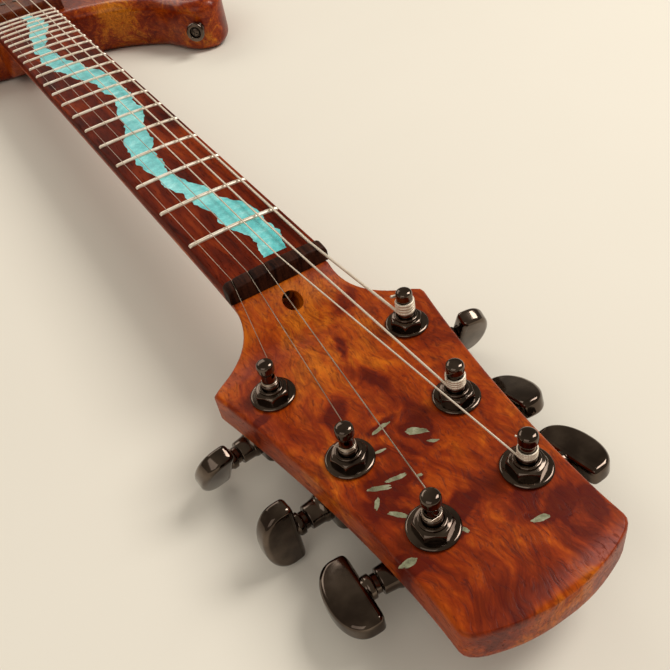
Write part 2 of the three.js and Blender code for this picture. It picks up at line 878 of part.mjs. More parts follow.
// Nut: crowned on top, lower behind, rounded at its ends, with a slot along each string
function nutRing(y, drop) {
  const half = nutWidth / 2 + nutOverhang;
  const top = boardTop + nutRise - drop;
  const end = top - crownDrop(half);
  return [
    [-half, boardBottom], [half, boardBottom], [half, end - nutCorner],
    [half - nutCorner * edgeMidShare, end - nutCorner * edgeMidShare],
    [half - nutCorner, end], [half / 2, top - crownDrop(half / 2)], [0, top],
    [-half / 2, top - crownDrop(half / 2)], [nutCorner - half, end],
    [nutCorner * edgeMidShare - half, end - nutCorner * edgeMidShare],
    [-half, end - nutCorner],
  ].map(([x, z]) => new THREE.Vector3(x, y, z));
}

function nutSlot(i) {
  const { radius, nut } = stringLine(i);
  const leave = windingPath(i)[0];
  const half = radius + nutSlotGap;
  const rings = [-cutOverrun, nutThickness + cutOverrun].map((ahead) => {
    const place = nut.clone().lerp(leave, Math.max(ahead, 0) / (leave.y - nut.y));
    const [low, high] = [place.z - half, place.z + cutOverrun + nutRise];
    return [
      [place.x - half, low], [place.x + half, low], [place.x + half, high], [place.x - half, high],
    ].map(([x, z]) => new THREE.Vector3(x, nut.y + ahead, z));
  });
  return loft(rings);
}

const nutSlots = stringDiameters.map((diameter, i) => nutSlot(i));
const nutBlock = loft([nutRing(nutFront, 0), nutRing(nutRear, nutRearDrop)]);

// Truss rod, its chamber behind the nut and the way in from the headstock's ramp
const rodLevel = neckTop - rodDepth;
const rodStart = boardEnd + rodTailMargin;
const chamberEnd = nutFront + rodChamberReach;
const rodNutStart = chamberEnd - rodNutSetback - rodNutLength;
const chamberStart = rodNutStart - 2 * seat;

function alongNeck(geometry, start) {
  return geometry.rotateX(-Math.PI / 2).translate(0, start, rodLevel);
}

function accessWay() {
  const rise = THREE.MathUtils.degToRad(accessRise);
  const ramp = neckForm(accessAhead).top;
  return rod(accessRadius, -accessReach, accessReach, accessSides)
    .rotateX(rise - Math.PI / 2)
    .translate(0, nutFront + accessAhead, ramp);
}

const rodChannel = [
  block(
    [-rodRadius - seat, rodStart - seat, rodLevel - rodRadius - seat],
    [rodRadius + seat, chamberStart + cutOverrun, neckTop + cutOverrun],
  ),
  block(
    [-rodAnchorWidth / 2 - seat, rodStart - seat, rodLevel - rodRadius - seat],
    [rodAnchorWidth / 2 + seat, rodStart + rodAnchorLength + seat, neckTop + cutOverrun],
  ),
  alongNeck(rod(rodNutRadius + runningFit, 0, chamberEnd - chamberStart, postSides), chamberStart),
  accessWay(),
];

function rodWithAnchor() {
  const length = rodNutStart - seat - rodStart;
  const anchor = block(
    [-rodAnchorWidth / 2, rodStart, rodLevel - rodRadius],
    [rodAnchorWidth / 2, rodStart + rodAnchorLength, rodLevel + rodRadius],
  );
  return join(anchor, alongNeck(rod(rodRadius, 0, length, smallSides), rodStart));
}

function rodNut() {
  const barrel = rod(rodNutRadius, 0, rodNutLength, postSides);
  const socket = hexagon(2 * rodNutSocket, rodNutLength - rodNutSocketDepth, rodNutLength + cutOverrun);
  return alongNeck(cut(barrel, socket), rodNutStart);
}

// Tuner pieces, each in the frame of its post: +X towards the key, heights above the body's back
function housing(hand) {
  const top = headBack - seat;
  const low = top - housingHeight;
  const side = -hand * wormOffset;
  const centre = housingLength / 2 - housingPostMargin;
  const outer = housingLength - housingPostMargin;
  const shell = raised(
    roundedRectangle(housingLength, housingWidth, housingCorner), low, top, housingEdge, 1, 1,
  ).translate(centre, side / 2, 0);
  const boss = turned([
    [0, -housingEdge * 2], [bossInnerRadius, -housingEdge * 2], [bossInnerRadius, housingEdge],
    [bossOuterRadius, bossLength], [0, bossLength],
  ], bossSides).rotateY(Math.PI / 2).translate(outer, side, wormLevel);
  const lug = raised(
    roundedRectangle(2 * lugRadius, 2 * (lugRadius + lugReach), lugRadius * lugCornerShare),
    top - lugThickness, top, 0, 1, 1,
  ).translate(lugAlong, lugSide(hand), 0);
  const postBore = rod(postRadius + runningFit, top - postBearing - seat, top + cutOverrun, smallSides);
  const shaftBore = rod(
    shaftRadius + runningFit, bossLength - shaftLength - seat, bossLength + cutOverrun, smallSides,
  ).rotateY(Math.PI / 2).translate(outer, side, wormLevel);
  const fixing = tunerScrew().translate(lugAlong, lugScrewSide(hand), 0);
  return cut(join(shell, boss, lug, fixing), postBore, shaftBore);
}

// The screw's ear stands out of the side away from the worm
const lugAlong = housingLength / 2 - housingPostMargin;

function lugSide(hand) {
  return hand * (housingWidth / 2 - wormOffset / 2);
}

function lugScrewSide(hand) {
  return lugSide(hand) + hand * lugReach;
}

// The screw that holds the ear is one piece with it here
function tunerScrew() {
  const top = headBack - seat - lugThickness;
  return turned([
    [0, top - tunerScrewHeadHeight], [tunerScrewHead * headRimShare, top - tunerScrewHeadHeight],
    [tunerScrewHead, top], [tunerScrewRadius, top], [tunerScrewRadius, top + tunerScrewLength],
    [0, top + tunerScrewLength],
  ], fastenerSides);
}

function post() {
  const waistLow = headFace + postWaistStart;
  const waistHigh = headFace + postWaistEnd;
  const top = headFace + postHeight;
  return turned([
    [0, headBack - seat - postBearing], [postRadius, headBack - seat - postBearing],
    [postRadius, waistLow], [postWaistRadius, waistLow], [postWaistRadius, waistHigh],
    [postRadius, waistHigh], [postRadius, top - postCapDome],
    [postRadius * capShoulderShare, top - postCapDome * (1 - capShoulderShare)], [0, top],
  ], postSides);
}

// A sleeve in the headstock, its washer, its hexagon and a collar round the post
function bushing() {
  const low = headFace + seat;
  const foot = low + washerThickness;
  const outer = join(
    turned([
      [0, headFace - bushingSleeveLength], [bushingSleeveRadius, headFace - bushingSleeveLength],
      [bushingSleeveRadius, low], [washerRadius, low], [washerRadius, foot], [0, foot],
    ], washerSides),
    hexagon(bushingFlats, low, foot + bushingHexHeight),
    rod(bushingCollarRadius, low, foot + bushingHexHeight + bushingCollarHeight, postSides),
  );
  return cut(outer, rod(postRadius + runningFit, headBack, headFace + postHeight, smallSides));
}

function keyShape() {
  const [half, deep] = [keyHalfWidth - keyEdge, keyDepth - keyEdge];
  const shape = new THREE.Shape();
  shape.moveTo(keyEdge, half - keyCorner);
  shape.quadraticCurveTo(keyEdge, half, keyEdge + keyCorner, half);
  shape.bezierCurveTo(
    deep * keyBellyShares[0] + keyCorner / 2, half, deep, half * keyBellyShares[1], deep, 0,
  );
  shape.bezierCurveTo(
    deep, -half * keyBellyShares[1], deep * keyBellyShares[0] + keyCorner / 2, -half,
    keyEdge + keyCorner, -half,
  );
  shape.quadraticCurveTo(keyEdge, -half, keyEdge, keyCorner - half);
  shape.closePath();
  return shape;
}

// The key and its shaft are one casting on the worm's axis, which is local X
function key() {
  const inner = housingLength - housingPostMargin + bossLength;
  const neckStart = inner + seat;
  const collar = neckStart + stemNeckLength;
  const flat = collar + stemCollarLength;
  const stem = turned([
    [0, inner - shaftLength], [shaftRadius, inner - shaftLength], [shaftRadius, neckStart],
    [stemNeckRadius, neckStart], [stemNeckRadius, collar], [stemCollarRadius, collar + seat],
    [stemCollarRadius, flat - seat], [stemNeckRadius, flat + keyEdge], [0, flat + keyEdge],
  ], stemSides).rotateY(Math.PI / 2);
  const grip = new THREE.ExtrudeGeometry(keyShape(), {
    depth: keyThickness - 2 * keyEdge,
    steps: 1,
    curveSegments: keyCurveSegments,
    bevelEnabled: true,
    bevelThickness: keyEdge,
    bevelSize: keyEdge,
    bevelSegments: 2,
  }).translate(flat, 0, keyEdge - keyThickness / 2);
  return join(stem, grip);
}

// Bridge pieces
const saddleWidth = bridgeSpread / (stringCount - 1) - saddleGap;
const wallTop = plateTop + bridgeWallHeight;

function bridgeScrewPlaces() {
  return [
    [-bridgeScrewSpread, -bridgeScrewBack], [0, -bridgeScrewBack], [bridgeScrewSpread, -bridgeScrewBack],
    [-bridgeFrontScrewSpread, bridgeFrontScrewLead], [bridgeFrontScrewSpread, bridgeFrontScrewLead],
  ];
}

function bridge() {
  const profile = new THREE.Shape([
    [bridgeFront, bodyTop + seat], [bridgeFront, plateTop - bridgeWallThickness / 2],
    [bridgeFront - bridgeWallThickness / 2, plateTop], [bridgeWallThickness - bridgeRear, plateTop],
    [bridgeWallThickness - bridgeRear, wallTop], [-bridgeRear, wallTop], [-bridgeRear, bodyTop + seat],
  ].map(([y, z]) => new THREE.Vector2(y, z)));
  const plate = new THREE.ExtrudeGeometry(profile, { depth: bridgeWidth, steps: 1, bevelEnabled: false })
    .rotateY(Math.PI / 2).rotateX(Math.PI / 2).translate(-bridgeWidth / 2, 0, 0);
  const stringHoles = stringDiameters.map((diameter, i) => (
    rod(bridgeHoleRadius, bodyThickness, plateTop + cutOverrun, smallSides)
      .translate(stringLine(i).saddle.x, -bridgeHole, 0)
  ));
  const screws = bridgeScrewPlaces().map(([x, y]) => (
    screw(bridgeScrewRadius, bridgeScrewLength, bridgeScrewHead, bridgeScrewHeadHeight, fastenerSides)
      .translate(x, y, plateTop)
  ));
  const intonationScrews = stringDiameters.map((diameter, i) => intonationScrew(i));
  return cut(join(plate, ...screws, ...intonationScrews), ...stringHoles);
}

function saddle(i) {
  const line = stringLine(i);
  const crest = line.saddle.z - line.radius - seat;
  const foot = plateTop + saddleLift;
  const front = line.saddle.y + saddleFront;
  const rear = line.saddle.y - saddleRear;
  const lip = line.saddle.y + saddleCrestLead;
  const profile = new THREE.Shape([
    [front, foot], [front, crest - saddleNose], [front - saddleNose, crest - saddleNose * edgeMidShare],
    [lip + saddleNose / 2, crest], [lip, crest], [rear + saddleNose, crest - saddleRearDrop],
    [rear, crest - saddleRearDrop - saddleNose], [rear, foot],
  ].map(([y, z]) => new THREE.Vector2(y, z)));
  const blockForm = new THREE.ExtrudeGeometry(profile, { depth: saddleWidth, steps: 1, bevelEnabled: false })
    .rotateY(Math.PI / 2).rotateX(Math.PI / 2).translate(line.saddle.x - saddleWidth / 2, 0, 0);
  const slot = block(
    [line.saddle.x - saddleSlotWidth / 2, line.saddle.y - saddleSlotEnd, foot - cutOverrun],
    [line.saddle.x + saddleSlotWidth / 2, lip, crest + cutOverrun],
  );
  const screwBore = rod(
    intonationRadius + seat, rear - cutOverrun, line.saddle.y - saddleSlotEnd + cutOverrun, fastenerSides,
  ).rotateX(-Math.PI / 2).translate(line.saddle.x, 0, plateTop + intonationRise);
  const heightScrews = [-1, 1].map((side) => (
    rod(heightScrewRadius, plateTop + seat, foot + heightScrewRadius, fastenerSides)
      .translate(line.saddle.x + side * heightScrewSpread, line.saddle.y + heightScrewLead, 0)
  ));
  return join(cut(blockForm, slot, screwBore), ...heightScrews);
}

function intonationScrew(i) {
  const line = stringLine(i);
  const headStart = -bridgeRear;
  const tip = line.saddle.y - saddleSlotEnd + intonationTip;
  return turned([
    [0, headStart - intonationHeadLength], [intonationHead * headRimShare, headStart - intonationHeadLength],
    [intonationHead, headStart], [intonationRadius, headStart], [intonationRadius, tip], [0, tip],
  ], fastenerSides).rotateX(-Math.PI / 2).translate(line.saddle.x, 0, plateTop + intonationRise);
}

// A round-head screw along +Z, with its head's underside at height zero
function screw(radius, length, headRadius, headHeight, sides) {
  return turned([
    [0, -length], [radius, -length], [radius, 0], [headRadius, 0], [headRadius * headRimShare, headHeight],
    [0, headHeight],
  ], sides);
}

// The strings' balls sit in one bar let into the back
const ferruleSpots = stringDiameters.map((diameter, i) => stringLine(i).saddle.x);

function ferruleBar(grow, low, high) {
  return raised(roundedRectangle(
    bridgeSpread + 2 * (ferruleRadius + grow),
    2 * (ferruleRadius + grow),
    (ferruleRadius + grow) * lugCornerShare,
  ), low, high, 0, 1, 3).translate(0, -bridgeHole, 0);
}

function ferruleBlock() {
  const top = ferruleRecess + ferruleLength;
  const bores = ferruleSpots.flatMap((x) => [
    rod(ferruleBore, -cutOverrun, ferruleRecess + ferruleBallDepth, smallSides).translate(x, -bridgeHole, 0),
    rod(ferruleThroat, 0, top + cutOverrun, fastenerSides).translate(x, -bridgeHole, 0),
  ]);
  return cut(ferruleBar(0, ferruleRecess, top), ...bores);
}

// Pickups: a wooden cover let into its cavity, with its poles in a row and a screw at each end
const coverTop = bodyTop + coverRise;
const coverFloor = coverTop - coverHeight;
const neckCoverFront = boardEnd - neckCoverGap;
const bridgeCoverRear = bridgeFront + bridgeCoverGap;
const coverFronts = [neckCoverFront, bridgeCoverRear + coverWidth];
const coverScrewSpan = coverLength / 2 - pickupScrewInset;

function polePlaces(front) {
  return stringDiameters.map((diameter, i) => (
    [poleSpread / 2 * (2 * i / (stringCount - 1) - 1), front - poleRowBack]
  ));
}

function pickupCover(front) {
  const middle = front - coverWidth / 2;
  const cover = raised(
    roundedRectangle(coverLength, coverWidth, coverCorner), coverFloor, coverTop, coverEdge, 1, 3,
  ).translate(0, middle, 0);
  const poles = polePlaces(front).map(([x, y]) => (
    rod(poleRadius, coverTop - poleLength, coverTop + poleProud, smallSides).translate(x, y, 0)
  ));
  const screws = [-1, 1].map((side) => (
    screw(pickupScrewRadius, pickupScrewLength, pickupScrewHead, pickupScrewHeadHeight, fastenerSides)
      .translate(side * coverScrewSpan, middle, coverTop)
  ));
  return join(cover, ...poles, ...screws);
}

function pickupCavity(front) {
  const shape = roundedRectangle(coverLength + 2 * cavityGap, coverWidth + 2 * cavityGap, coverCorner);
  return raised(shape, coverFloor - cavityGap, coverTop + cutOverrun, 0, 1, 3)
    .translate(0, front - coverWidth / 2, 0);
}

const pickupScrewPlaces = coverFronts.flatMap((front) => (
  [-1, 1].map((side) => [side * coverScrewSpan, front - coverWidth / 2])
));

// Controls: the switch, volume and tone stand in a slanted row over one cavity
const controlSide = bodyHalfWidth * controlSideShare;
const controlSpacing = bodyHalfWidth * controlSpacingShare;
const rowTurn = THREE.MathUtils.degToRad(controlAngle);

function inRow(along, across = 0) {
  return [
    controlSide + along * Math.cos(rowTurn) - across * Math.sin(rowTurn),
    along * Math.sin(rowTurn) + across * Math.cos(rowTurn) - controlBack,
  ];
}

const switchPlace = inRow(-controlSpacing);
const knobPlaces = [inRow(0), inRow(controlSpacing)];
const roofLevel = bodyTop - cavityRoof;
const cavityLength = 2 * (controlSpacing + cavityEndMargin);
const panelLevel = coverPanelRecess + coverPanel;

function overRow(geometry) {
  return geometry.rotateZ(rowTurn).translate(controlSide, -controlBack, 0);
}

function panelOutline(inset) {
  const ledge = coverLedge - inset;
  return roundedRectangle(cavityLength + 2 * ledge, cavityWidth + 2 * ledge, cavityCorner + ledge);
}

const coverScrewPlaces = [[-1, -1], [-1, 1], [1, -1], [1, 1]].map(([end, side]) => inRow(
  end * (cavityLength / 2 - cavityCorner),
  side * (cavityWidth / 2 + coverLedge / 2),
));

function panel() {
  const plate = overRow(raised(panelOutline(seat), coverPanelRecess, panelLevel, 0, 1, 4));
  const screws = coverScrewPlaces.map(([x, y]) => (
    rod(coverScrewRadius, panelLevel - coverPanel / 2, coverPanelRecess + coverScrewLength, fastenerSides)
      .translate(x, y, 0)
  ));
  return join(plate, ...screws);
}

function pot() {
  const roof = bodyTop + seat;
  const bushed = join(
    rod(potRadius, roofLevel - seat - potHeight, roofLevel - seat, postSides),
    rod(potBushingRadius, roofLevel - 2 * seat, roof + potNutHeight + seat, smallSides),
    hexagon(potNutFlats, roof, roof + potNutHeight),
  );
  return cut(bushed, rod(potBore, roofLevel - potHeight + seat, bodyTop + knobHeight, smallSides));
}

// The knob turns with the pot's shaft, which is one piece with it here
function knob() {
  const low = bodyTop + knobSkirt;
  const outer = turned([
    [0, low], [knobRadius, low], [knobRadius, low + knobSkirt * 2],
    [knobRadius * knobWaistShare, low + knobHeight * knobShoulderShare],
    [knobRadius * knobWaistShare * knobShoulderShare, low + knobHeight], [0, low + knobHeight],
  ], knobSides);
  const hollow = rod(knobRecessRadius, low - cutOverrun, low + knobRecessDepth, postSides);
  const shaft = rod(potShaftRadius, roofLevel - potHeight + 3 * seat, low + knobHeight / 2, smallSides);
  return join(cut(outer, hollow), shaft);
}

const leverBall = switchThroat - 2 * runningFit;

function selectorSwitch() {
  const roof = bodyTop + seat;
  const canTop = roofLevel - seat;
  const canShape = roundedRectangle(switchCanLength, switchCanWidth, switchCanCorner);
  const can = raised(canShape, canTop - switchCanHeight, canTop, 0, 1, 1).rotateZ(rowTurn);
  const bushed = join(
    can,
    rod(switchBushingRadius, roofLevel - 2 * seat, bodyTop + switchBushingRise, postSides),
    rod(switchNutRadius, roof, roof + switchNutHeight, postSides),
  );
  const throatFloor = bodyTop - switchPivotDrop - switchThroat;
  const throat = rod(switchThroat, throatFloor, bodyTop + leverLength, postSides);
  return cut(bushed, throat);
}

// The lever stands on a ball that turns in the switch's throat
function lever() {
  const pivot = bodyTop - switchPivotDrop;
  const belt = leverBall * leverBallShare;
  return turned([
    [0, pivot - leverBall], [belt, pivot - belt], [leverBall, pivot], [belt, pivot + belt],
    [leverRadius, pivot + leverBall], [leverRadius, pivot + leverLength * leverTipShares[0]],
    [leverTip, pivot + leverLength * leverTipShares[1]], [leverTip, pivot + leverLength * leverTipShares[2]],
    [leverRadius, pivot + leverLength], [0, pivot + leverLength],
  ], postSides);
}

// The output jack sits in the rim, its mouth facing outwards along its own +Z
const jackFacet = facetFacing(0, (spot) => spot.x > 0 && spot.y < -bodyTail * jackBackShare);
jackFacet.normal = new THREE.Vector3(1, 0, 0);
const hornFacet = facetFacing(hornButtonDirection, (spot) => (
  spot.x < 0 && spot.y > neckJoint + bassHornReach * hornButtonShare
));
const tailFacet = {
  middle: new THREE.Vector3(0, -bodyTail, 0),
  normal: new THREE.Vector3(0, -1, 0),
};

// Stands a piece that points along +Z on the rim, half way up it
function onRim(geometry, facet, out) {
  const turn = new THREE.Quaternion().setFromUnitVectors(new THREE.Vector3(0, 0, 1), facet.normal);
  const spot = facet.middle.clone().addScaledVector(facet.normal, out);
  return geometry.clone().applyQuaternion(turn).translate(spot.x, spot.y, bodyThickness / 2);
}

function jack() {
  const outer = turned([
    [0, -jackLength], [jackBarrelRadius, -jackLength], [jackBarrelRadius, 0], [jackRadius, 0],
    [jackRadius, jackLip / 2], [jackRadius * knobWaistShare, jackLip], [0, jackLip],
  ], jackSides);
  return cut(outer, rod(jackBore, jackEnd - jackLength, jackLip + cutOverrun, jackSides));
}

function strapButton() {
  const screwBore = buttonScrewRadius + seat;
  return turned([
    [screwBore, 0], [buttonBase, 0], [buttonWaist, buttonHeight * buttonWaistShare],
    [buttonRadius, buttonHeight - buttonFlange], [buttonRadius, buttonHeight - buttonFlange * edgeMidShare],
    [buttonRadius * buttonRimShare, buttonHeight], [buttonCup, buttonHeight],
    [buttonCup, buttonHeight - buttonCupDepth], [screwBore, buttonHeight - buttonCupDepth], [screwBore, 0],
  ], buttonSides);
}

const buttonFacets = [hornFacet, tailFacet];

// Body
function bodyCuts() {
  const cavity = roundedRectangle(cavityLength, cavityWidth, cavityCorner);
  const holes = [
    neckBlank(heelEnd - seat, jointOpening, seat),
    ferruleBar(seat, -cutOverrun, ferruleRecess + ferruleLength + seat),
    tenon(seat),
    ...coverFronts.map(pickupCavity),
    overRow(raised(cavity, -cutOverrun, roofLevel, 0, 1, 4)),
    overRow(raised(panelOutline(0), -cutOverrun, panelLevel + seat, 0, 1, 4)),
    rod(switchBushingRadius + seat, 0, bodyTop + cutOverrun, postSides).translate(...switchPlace, 0),
    ...knobPlaces.map((place) => (
      rod(potBushingRadius + seat, 0, bodyTop + cutOverrun, smallSides).translate(...place, 0)
    )),
    onRim(rod(jackBarrelRadius + seat, -jackLength - jackSeatDepth, cutOverrun, jackSides), jackFacet, 0),
    onRim(rod(jackRadius + seat, -jackSeatDepth, jackRadius, jackSides), jackFacet, 0),
  ];
  stringDiameters.forEach((diameter, i) => {
    const { x } = stringLine(i).saddle;
    holes.push(rod(bridgeHoleRadius, 0, bodyTop + cutOverrun, smallSides).translate(x, -bridgeHole, 0));
  });
  bridgeScrewPlaces().forEach(([x, y]) => {
    holes.push(rod(bridgeScrewRadius + seat, plateTop - bridgeScrewLength, bodyTop + cutOverrun, smallSides)
      .translate(x, y, 0));
  });
  coverScrewPlaces.forEach(([x, y]) => {
    holes.push(rod(coverScrewRadius + seat, 0, coverPanelRecess + coverScrewLength + 2 * seat, fastenerSides)
      .translate(x, y, 0));
  });
  pickupScrewPlaces.forEach(([x, y]) => {
    holes.push(rod(pickupScrewRadius + seat, coverTop - pickupScrewLength - seat, coverTop, fastenerSides)
      .translate(x, y, 0));
  });
  buttonFacets.forEach((facet) => {
    holes.push(onRim(rod(buttonScrewRadius + seat, -buttonScrewLength, cutOverrun, fastenerSides), facet, 0));
  });
  holes.push(...wireways());
  return holes;
}

// Drilled ways for the wires, from each pickup's cavity to the next and to the controls
function wireways() {
  const level = (coverFloor + roofLevel) / 2;
  const [neckMiddle, bridgeMiddle] = coverFronts.map((front) => front - coverWidth / 2);
  const side = coverLength / 4;
  return [
    drilled([side, neckMiddle, level], [side, bridgeMiddle, level]),
    drilled([side, bridgeMiddle, level], [...switchPlace, level]),
  ];
}

function drilled(from, to) {
  const [start, end] = [new THREE.Vector3(...from), new THREE.Vector3(...to)];
  const way = end.clone().sub(start);
  const turn = new THREE.Quaternion().setFromUnitVectors(new THREE.Vector3(0, 0, 1), way.clone().normalize());
  return rod(wirewayRadius, 0, way.length(), fastenerSides)
    .applyQuaternion(turn)
    .translate(start.x, start.y, start.z);
}

const bodyBlank = new THREE.ExtrudeGeometry(new THREE.Shape(bodyOutline), {
  depth: bodyThickness - 2 * bodyEdge,
  steps: 1,
  bevelEnabled: true,
  bevelThickness: bodyEdge,
  bevelSize: bodyEdge,
  bevelOffset: -bodyEdge,
  bevelSegments: edgeSteps,
}).translate(0, 0, bodyEdge);

function neck() {
  const blank = join(neckBlank(heelEnd, neckStations(), 0), tenon(0));
  const postHoles = tunerPlaces.map(({ x, y }) => (
    rod(bushingSleeveRadius + 2 * seat, headBack - cutOverrun, headFace + cutOverrun, boreSides)
      .translate(x, y, 0)
  ));
  const screwReach = headBack - lugThickness + tunerScrewLength;
  const screwHoles = tunerPlaces.map((place) => inTunerFrame(
    rod(tunerScrewRadius + seat, headBack - cutOverrun, screwReach, fastenerSides)
      .translate(lugAlong, lugScrewSide(place.hand), 0),
    place,
  ));
  return cut(blank, pickupCavity(neckCoverFront), ...rodChannel, ...postHoles, ...screwHoles);
}

function inTunerFrame(geometry, { x, y, turn }) {
  return geometry.rotateZ(turn).translate(x, y, 0);
}

// Assembly
const frets = Array.from({ length: fretCount }, (unused, i) => fret(i + 1));

add('body', cut(bodyBlank, ...bodyCuts()), 'burl');
add('neck', neck(), 'neckWood');
add('truss_rod', rodWithAnchor(), 'steel');
add('truss_rod_nut', rodNut(), 'steel');
add('fretboard', join(cut(boardBlank(0), riverRecess), ...frets), 'darkWood');
add('fretboard_inlay', common(boardBlank(riverSink), riverBody), 'turquoise');
add('nut', cut(nutBlock, ...nutSlots), 'ebony');

tunerPlaces.forEach((place, i) => {
  const tuner = new THREE.Group();
  tuner.position.set(place.x, place.y, 0);
  tuner.rotation.z = place.turn;
  guitar.add(tuner);
  add(`tuner_housing_${i + 1}`, housing(place.hand), 'blackNickel', tuner);
  add(`tuner_bushing_${i + 1}`, bushing(), 'blackNickel', tuner);
  add(`tuner_post_${i + 1}`, post(), 'blackNickel', tuner);
  const turning = add(`tuner_key_${i + 1}`, key(), 'blackNickel', tuner);
  turning.position.set(0, -place.hand * wormOffset, wormLevel);
  turning.rotation.x = THREE.MathUtils.degToRad(keyRestAngles[i]);
});

stringDiameters.forEach((diameter, i) => {
  const strand = join(wire(stringPath(i), diameter / 2, wireSides), ball(i));
  add(`string_${i + 1}`, strand, i < stringCount / 2 ? 'woundWire' : 'plainWire');
  add(`saddle_${i + 1}`, saddle(i), 'blackNickel');
  console.log(`string_${i + 1} turns lie ${windingClearance(i).toFixed(2)} mm apart`);
});

add('ferrule_block', ferruleBlock(), 'blackNickel');
add('bridge_plate', bridge(), 'blackNickel');
add('neck_pickup', pickupCover(coverFronts[0]), 'coverWood');
add('bridge_pickup', pickupCover(coverFronts[1]), 'coverWood');
['volume', 'tone'].forEach((use, i) => {
  add(`${use}_knob`, knob().translate(...knobPlaces[i], 0), 'blackNickel');
  add(`${use}_pot`, pot().translate(...knobPlaces[i], 0), 'steel');
});
add('selector_switch', selectorSwitch().translate(...switchPlace, 0), 'blackNickel');
add('switch_lever', lever().translate(...switchPlace, 0), 'blackNickel');
add('output_jack', onRim(jack(), jackFacet, seat - jackSeatDepth), 'blackNickel');
['horn', 'tail'].forEach((end, i) => {
  const fixing = screw(
    buttonScrewRadius, buttonScrewLength, buttonScrewHead, buttonScrewHeadHeight, smallSides,
  );
  add(`strap_button_${end}`, onRim(strapButton(), buttonFacets[i], seat), 'blackNickel');
  add(
    `strap_screw_${end}`,
    onRim(fixing, buttonFacets[i], buttonHeight - buttonCupDepth + 2 * seat),
    'steel',
  );
});
add('control_cover', panel(), 'coverWood');

export default guitar;
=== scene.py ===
"""Looks of a set-neck electric guitar with a burl headstock, lying on its back.

Sizes are in millimetres in the part's own frame: +Y to the headstock, +X to the treble side,
+Z out of the face. A mesh turns into metres as it is made.
"""

import math

import bmesh
import bpy
from mathutils import Matrix, Vector, noise


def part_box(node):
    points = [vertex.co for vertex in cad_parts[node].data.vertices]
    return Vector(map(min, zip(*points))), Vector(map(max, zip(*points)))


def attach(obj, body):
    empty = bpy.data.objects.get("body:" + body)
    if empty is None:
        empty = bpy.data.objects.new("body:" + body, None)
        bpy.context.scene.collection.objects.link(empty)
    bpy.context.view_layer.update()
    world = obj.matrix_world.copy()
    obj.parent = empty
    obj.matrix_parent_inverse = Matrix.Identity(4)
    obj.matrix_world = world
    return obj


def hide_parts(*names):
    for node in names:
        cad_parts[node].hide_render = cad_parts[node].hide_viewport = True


MM = 0.001

# Levels, lengths and places of the part
SCALE_LENGTH = 648
FRET_COUNT = 21
BODY_TOP = 40
BOARD_TOP = 50
BOARD_BOTTOM = 44
NECK_TOP = 43.7
HEAD_FACE = 35
HEAD_BACK = 21
HEAD_LENGTH = 163
NUT_FRONT = 648
NUT_THICKNESS = 5.6
BOARD_RADIUS = 305
SEAT = 0.3  # the gap between pieces that lie on each other
JOINT = 181.05  # where the neck leaves the body
HOLE_ROW = -9.5  # the strings' holes through the body
ROD_LEVEL = 38.3
PLATE_TOP = 43.3
INTONATION_LEVEL = 48.7
BODY_HALF = 172
TAIL_LENGTH = 135
HORN_LENGTH = 89
NUT_HALF = 21.5
HEAD_HALF = 46.9  # at the shoulders of the headstock
HEAD_TIP_HALF = 29.4
PICKUP_FRONTS = (163.15, 61)
CONTROL_MIDDLE = (92.02, -50, 0)
JACK_SPOT = (-74.9, 20)

# The strings, lowest first: how far the saddle is set back, turns round the post,
# the angle at which the key rests, and the string's thickness
STRINGS = range(6)
SETBACKS = (4, 3, 2.2, 2.6, 1.6, 1)
POST_TURNS = (3.7, 3.9, 3.6, 3.2, 3.4, 3.6)
KEY_RESTS = (-68, -22, -9, 5, -88, 62)
STRING_SIZES = (1.17, 0.91, 0.66, 0.43, 0.33, 0.25)


def mix(a, b, share):
    return a + (b - a) * share


def held(value, low=0, high=1):
    return min(max(value, low), high)


def ease(value, start, end):
    share = held((value - start) / (end - start))
    return share * share * (3 - 2 * share)


def soft_least(a, b, width):
    """The smaller of two numbers, rounded where they meet."""
    share = held(0.5 + (b - a) / (2 * width))
    return mix(b, a, share) - width * share * (1 - share)


def fret_distance(number):
    return SCALE_LENGTH * (1 - 2 ** (-number / 12))


def board_end():
    return NUT_FRONT - fret_distance(FRET_COUNT) - 8


def board_half(distance):
    """Half the board's width at a distance from the nut towards the body."""
    return (2 * NUT_HALF + 9 * distance / fret_distance(12)) / 2


def crown_drop(x):
    return BOARD_RADIUS - math.sqrt(BOARD_RADIUS**2 - x**2)


def board_top_at(x, y):
    return BOARD_TOP - crown_drop(x * board_half(0) / board_half(NUT_FRONT - y))


def smooth_loop(points, steps):
    """A closed centripetal Catmull-Rom curve through a list of points."""
    made = []
    for i in range(len(points)):
        a, b, c, d = [Vector(points[(i + k) % len(points)]) for k in (-1, 0, 1, 2)]
        start = (b - a).length ** 0.5
        end = start + (c - b).length ** 0.5
        last = end + (d - c).length ** 0.5
        for step in range(steps):
            at = mix(start, end, step / steps)
            first = a.lerp(b, at / start)
            middle = b.lerp(c, (at - start) / (end - start))
            third = c.lerp(d, (at - end) / (last - end))
            near = first.lerp(middle, at / end)
            far = middle.lerp(third, (at - start) / (last - start))
            made.append(near.lerp(far, (at - start) / (end - start)))
    return made


def through(points, steps):
    """An open Catmull-Rom curve through a list of numbers, vectors or tuples."""
    rows = [Vector(p) for p in points]
    rows = [2 * rows[0] - rows[1], *rows, 2 * rows[-1] - rows[-2]]
    made = []
    for a, b, c, d in zip(rows, rows[1:], rows[2:], rows[3:]):
        for step in range(steps):
            t = step / steps
            made.append(0.5 * (2 * b + (c - a) * t + (2 * a - 5 * b + 4 * c - d) * t**2
                               + (3 * b - a - 3 * c + d) * t**3))
    return [*made, rows[-2]]


